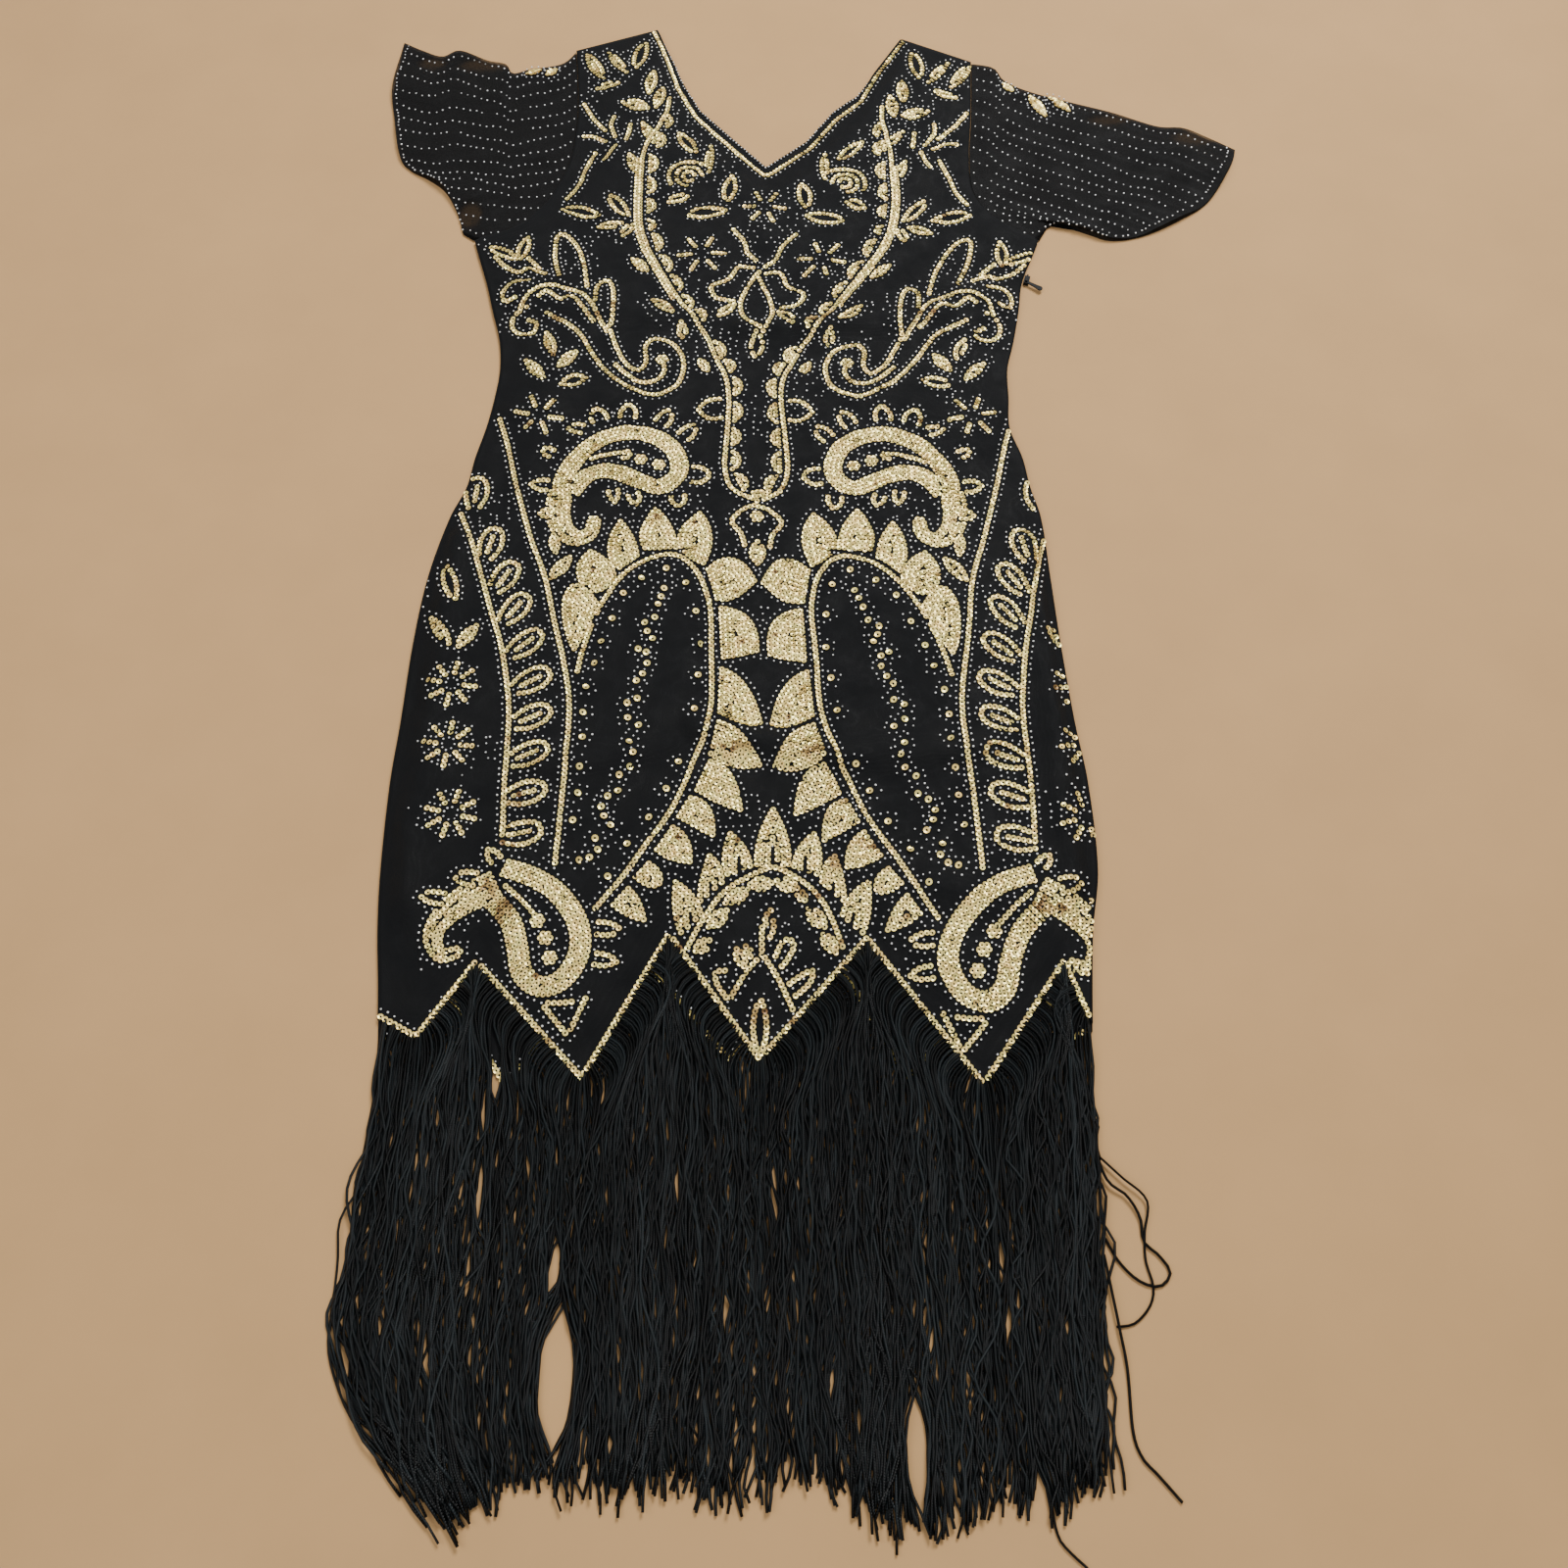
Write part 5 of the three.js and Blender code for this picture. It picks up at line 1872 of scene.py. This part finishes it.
def cord_paths(hem, count, seed, low, high):
    """The cords of one hem: count x rings x 3, in pattern mm, height last."""
    generate = generator(seed)
    corners = np.array(hem, float)
    corners[0, 0] += ROOT_INSET
    corners[-1, 0] -= ROOT_INSET
    run = lengths(corners)
    at = (np.arange(count) + 0.5 + generate.uniform(-0.25, 0.25, count)) / count
    roots = resample(corners, at)
    piece = np.clip(np.searchsorted(run, at * run[-1]) - 1, 0, len(corners) - 2)
    way = (corners[piece + 1] - corners[piece]) / np.diff(run)[piece][:, None]
    square = np.arctan2(-way[:, 1], way[:, 0])  # turn from straight down, towards +x
    nearest = np.minimum(at * run[-1] - run[piece], run[piece + 1] - at * run[-1])
    square = square * ease(nearest / SQUARE_EASE)
    swung = ease(1 - (roots[:, 0] - HEM[0][0]) / SWING_REACH) * SWING_COURSE[-1][1] * SWING
    length = smooth(FRINGE_ENDS, roots[:, 0] + swung) - roots[:, 1]
    longer, spread, cut = LENGTH_SPREAD
    length = length + generate.normal(longer, spread, count) - generate.exponential(cut, count)
    near = np.linspace(0, HEADER_SHARE, HEADER_RINGS)
    free = np.linspace(HEADER_SHARE, 1, CORD_RINGS - HEADER_RINGS + 1)
    share = np.concatenate([near, free[1:]])
    along = share[None] * length[:, None]
    turn = square[:, None] * np.exp(-np.maximum(along - HEADER_REACH / 2, 0) / TURN_FADE)
    step = np.diff(along, axis=1)
    middle_turn = (turn[:, 1:] + turn[:, :-1]) / 2
    x = np.cumsum(np.column_stack([roots[:, 0], step * np.sin(middle_turn)]), axis=1)
    start = roots[:, 1] - ROOT_INSET
    down = np.cumsum(np.column_stack([start, step * np.cos(middle_turn)]), axis=1)
    # Past the header the cords close up again under the hem's tips.
    closed = CLOSING * ease((along - HEADER_REACH) / CLOSING_REACH)
    x = roots[:, :1] + (x - roots[:, :1]) * (1 - closed)
    settled = x.copy()
    near = ease(1 - (settled - HEM[0][0]) / SWING_REACH)
    x = x + SWING * near * smooth(SWING_COURSE, share)[None]
    # Neighbours of a layer drift together, and each cord a little by itself.
    layer = generate.integers(0, CORD_LAYERS, (count, 1))
    for width, size, speed in CORD_DRIFTS:
        phase = generate.uniform(0, 2 * math.pi, CORD_LAYERS)[layer]
        x = x + size * share[None] ** 0.9 * np.sin(settled / width + speed * share[None] + phase)
    for turns, size, starts in CORD_WAVES:
        phase = generate.uniform(0, 2 * math.pi, (count, 1))
        each = generate.normal(0, size, (count, 1))
        course = turns * generate.uniform(0.8, 1.25, (count, 1)) * math.pi * share[None]
        x = x + each * ease(share[None] / starts) * np.sin(course + phase)
    right = ease((settled - RIGHT_START) / RIGHT_REACH)
    x = x - RIGHT_DRIFT * right * share[None] ** 1.5
    for gap_x, start, end, half in FRINGE_GAPS:
        middle, reach = (start + end) / 2, (end - start) / 2
        open_here = ease(1.25 * (1 - np.abs(down - middle) / reach))
        # Each cord keeps to one side of the gap.
        weight = open_here.sum(axis=1, keepdims=True)
        side = np.where(((x - gap_x) * open_here).sum(axis=1, keepdims=True) >= 0, 1, -1)
        side = np.where(weight > 0, side, 1)
        off = side * (x - gap_x)
        push = half * np.exp(-np.maximum(off, 0) / (1.6 * half)) + np.maximum(-off, 0)
        x = x + side * push * open_here
    level = (layer + generate.uniform(0, 1, (count, 1))) / CORD_LAYERS
    wave = 0.15 * np.sin(generate.uniform(0, 6, (count, 1)) + 9 * share[None])
    rise = np.clip(level + wave, 0, 1)
    height = mix(mix(low[0], high[0], rise), mix(low[1], high[1], rise), share[None])
    height[:, 0] = height[:, 0] * 0.5 + 0.5 * low[0]
    return np.stack([x, down, height], axis=-1)


def cord_template():
    """A straight cord of unit radius: a round, drawn out ring by ring."""
    bm = bmesh.new()
    bmesh.ops.create_circle(bm, radius=1, segments=CORD_SIDES)
    edges = bm.edges[:]
    bmesh.ops.contextual_create(bm, geom=edges)
    for _ in range(CORD_RINGS - 1):
        grown = bmesh.ops.extrude_edge_only(bm, edges=edges)["geom"]
        verts = [g for g in grown if isinstance(g, bmesh.types.BMVert)]
        edges = [g for g in grown if isinstance(g, bmesh.types.BMEdge)]
        bmesh.ops.translate(bm, verts=verts, vec=(0, 0, 1))
    bmesh.ops.contextual_create(bm, geom=edges)
    bmesh.ops.recalc_face_normals(bm, faces=bm.faces)
    bm.verts.index_update()
    bm.verts.ensure_lookup_table()
    return bm


def cords(name, paths, radius, seed):
    generate = generator(seed)
    template = cord_template()
    shape = np.array([vertex.co for vertex in template.verts])
    ring = np.round(shape[:, 2]).astype(int)
    centre = world(paths[..., 0], paths[..., 1], paths[..., 2])
    way = unit(np.gradient(centre, axis=1))
    across = unit(np.cross(way, (0, 0, 1)))
    out = np.cross(across, way)
    size = radius * MM * generate.uniform(0.85, 1.1, len(paths))[:, None, None]
    points = centre[:, ring] + size * (
        shape[None, :, :1] * across[:, ring] + shape[None, :, 1:2] * out[:, ring]
    )
    uvs = []
    run = np.linspace(0, sizes().cord_length, CORD_RINGS)
    for face in template.faces:
        angles = [math.atan2(v.co.y, v.co.x) / (2 * math.pi) % 1 for v in face.verts]
        wraps = max(angles) - min(angles) > 0.5
        for vertex, angle in zip(face.verts, angles):
            if wraps and angle < 0.5:
                angle += 1
            uvs.append((angle, run[int(round(vertex.co.z))]))
    # Each cord's own tone; the lighter cords carry painted highlights.
    tone = np.clip(generate.normal(CORD_TONE, CORD_TONE_SPREAD, len(paths)), 0, 1)
    mesh = stamped(name, template, points, {"tone": tone}, np.array(uvs))
    template.free()
    return mesh


def stray_paths():
    """The loose cords beside the fringe, in the same form."""
    share = np.linspace(0, 1, CORD_RINGS)
    height = np.interp(share, [0, 0.25, 0.5, 1], [3.0, 3.4, 1.2, 1.0])
    return np.array([np.column_stack([spline(row, CORD_RINGS), height]) for row in STRAYS])


# Each fringe: name, hem, seed, and the cords' lowest and highest heights at the hem and their ends
FRINGES = [
    ("front", HEM, 41, (2.4, 1.9), (5.0, 4.0)),
    ("back", BACK_HEM, 43, (0.9, 0.9), (2.2, 2.2)),
]


class DRESS_OT_fringe(bpy.types.Operator):
    """Lay the twisted cords that hang from the two zigzag hems"""

    bl_idname = "dress.fringe"
    bl_label = "Fringe"

    def execute(self, context):
        material = cord_material()
        for name, hem, seed, low, high in FRINGES:
            paths = cord_paths(hem, sizes().cords, seed, low, high)
            if name == "front":
                paths = np.vstack([paths, stray_paths()])
            mesh = cords(name + "_cords", paths, in_mm("cord_diameter") / 2, seed + 1)
            piece = add_piece(name + "_cords", mesh, material)
            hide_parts("fringe_" + name)
        return {"FINISHED"}


class DRESS_OT_zip(bpy.types.Operator):
    """Finish the zip's slider and pull in black lacquer"""

    bl_idname = "dress.zip"
    bl_label = "Side zip"

    def execute(self, context):
        lacquer = lacquer_material()
        for name in ("zip_slider", "zip_pull"):
            mesh = frame["nodes"][name].data
            mesh.materials.clear()
            mesh.materials.append(lacquer)
        return {"FINISHED"}


class DRESS_PT_panel(bpy.types.Panel):
    """The dress's pieces in the order they are made"""

    bl_label = "Flapper dress"
    bl_space_type = "VIEW_3D"
    bl_region_type = "UI"
    bl_category = "Flapper dress"

    def draw(self, context):
        for group in (context.scene.dress_sizes, context.scene.dress_colours):
            for key in group.__annotations__:
                self.layout.prop(group, key)
        for operator in OPERATORS:
            self.layout.operator(operator.bl_idname)


OPERATORS = (
    DRESS_OT_stage,
    DRESS_OT_panels,
    DRESS_OT_sleeves,
    DRESS_OT_embroidery,
    DRESS_OT_fringe,
    DRESS_OT_zip,
)
CLASSES = (DressSizes, DressColours, *OPERATORS, DRESS_PT_panel)


def register():
    for made in CLASSES:
        bpy.utils.register_class(made)
    bpy.types.Scene.dress_sizes = bpy.props.PointerProperty(type=DressSizes)
    bpy.types.Scene.dress_colours = bpy.props.PointerProperty(type=DressColours)


def unregister():
    del bpy.types.Scene.dress_colours
    del bpy.types.Scene.dress_sizes
    for made in reversed(CLASSES):
        bpy.utils.unregister_class(made)


def main():
    register()
    bpy.ops.dress.stage()
    bpy.ops.dress.panels()
    bpy.ops.dress.sleeves()
    bpy.ops.dress.embroidery()
    bpy.ops.dress.fringe()
    bpy.ops.dress.zip()


if __name__ == "__main__":
    main()
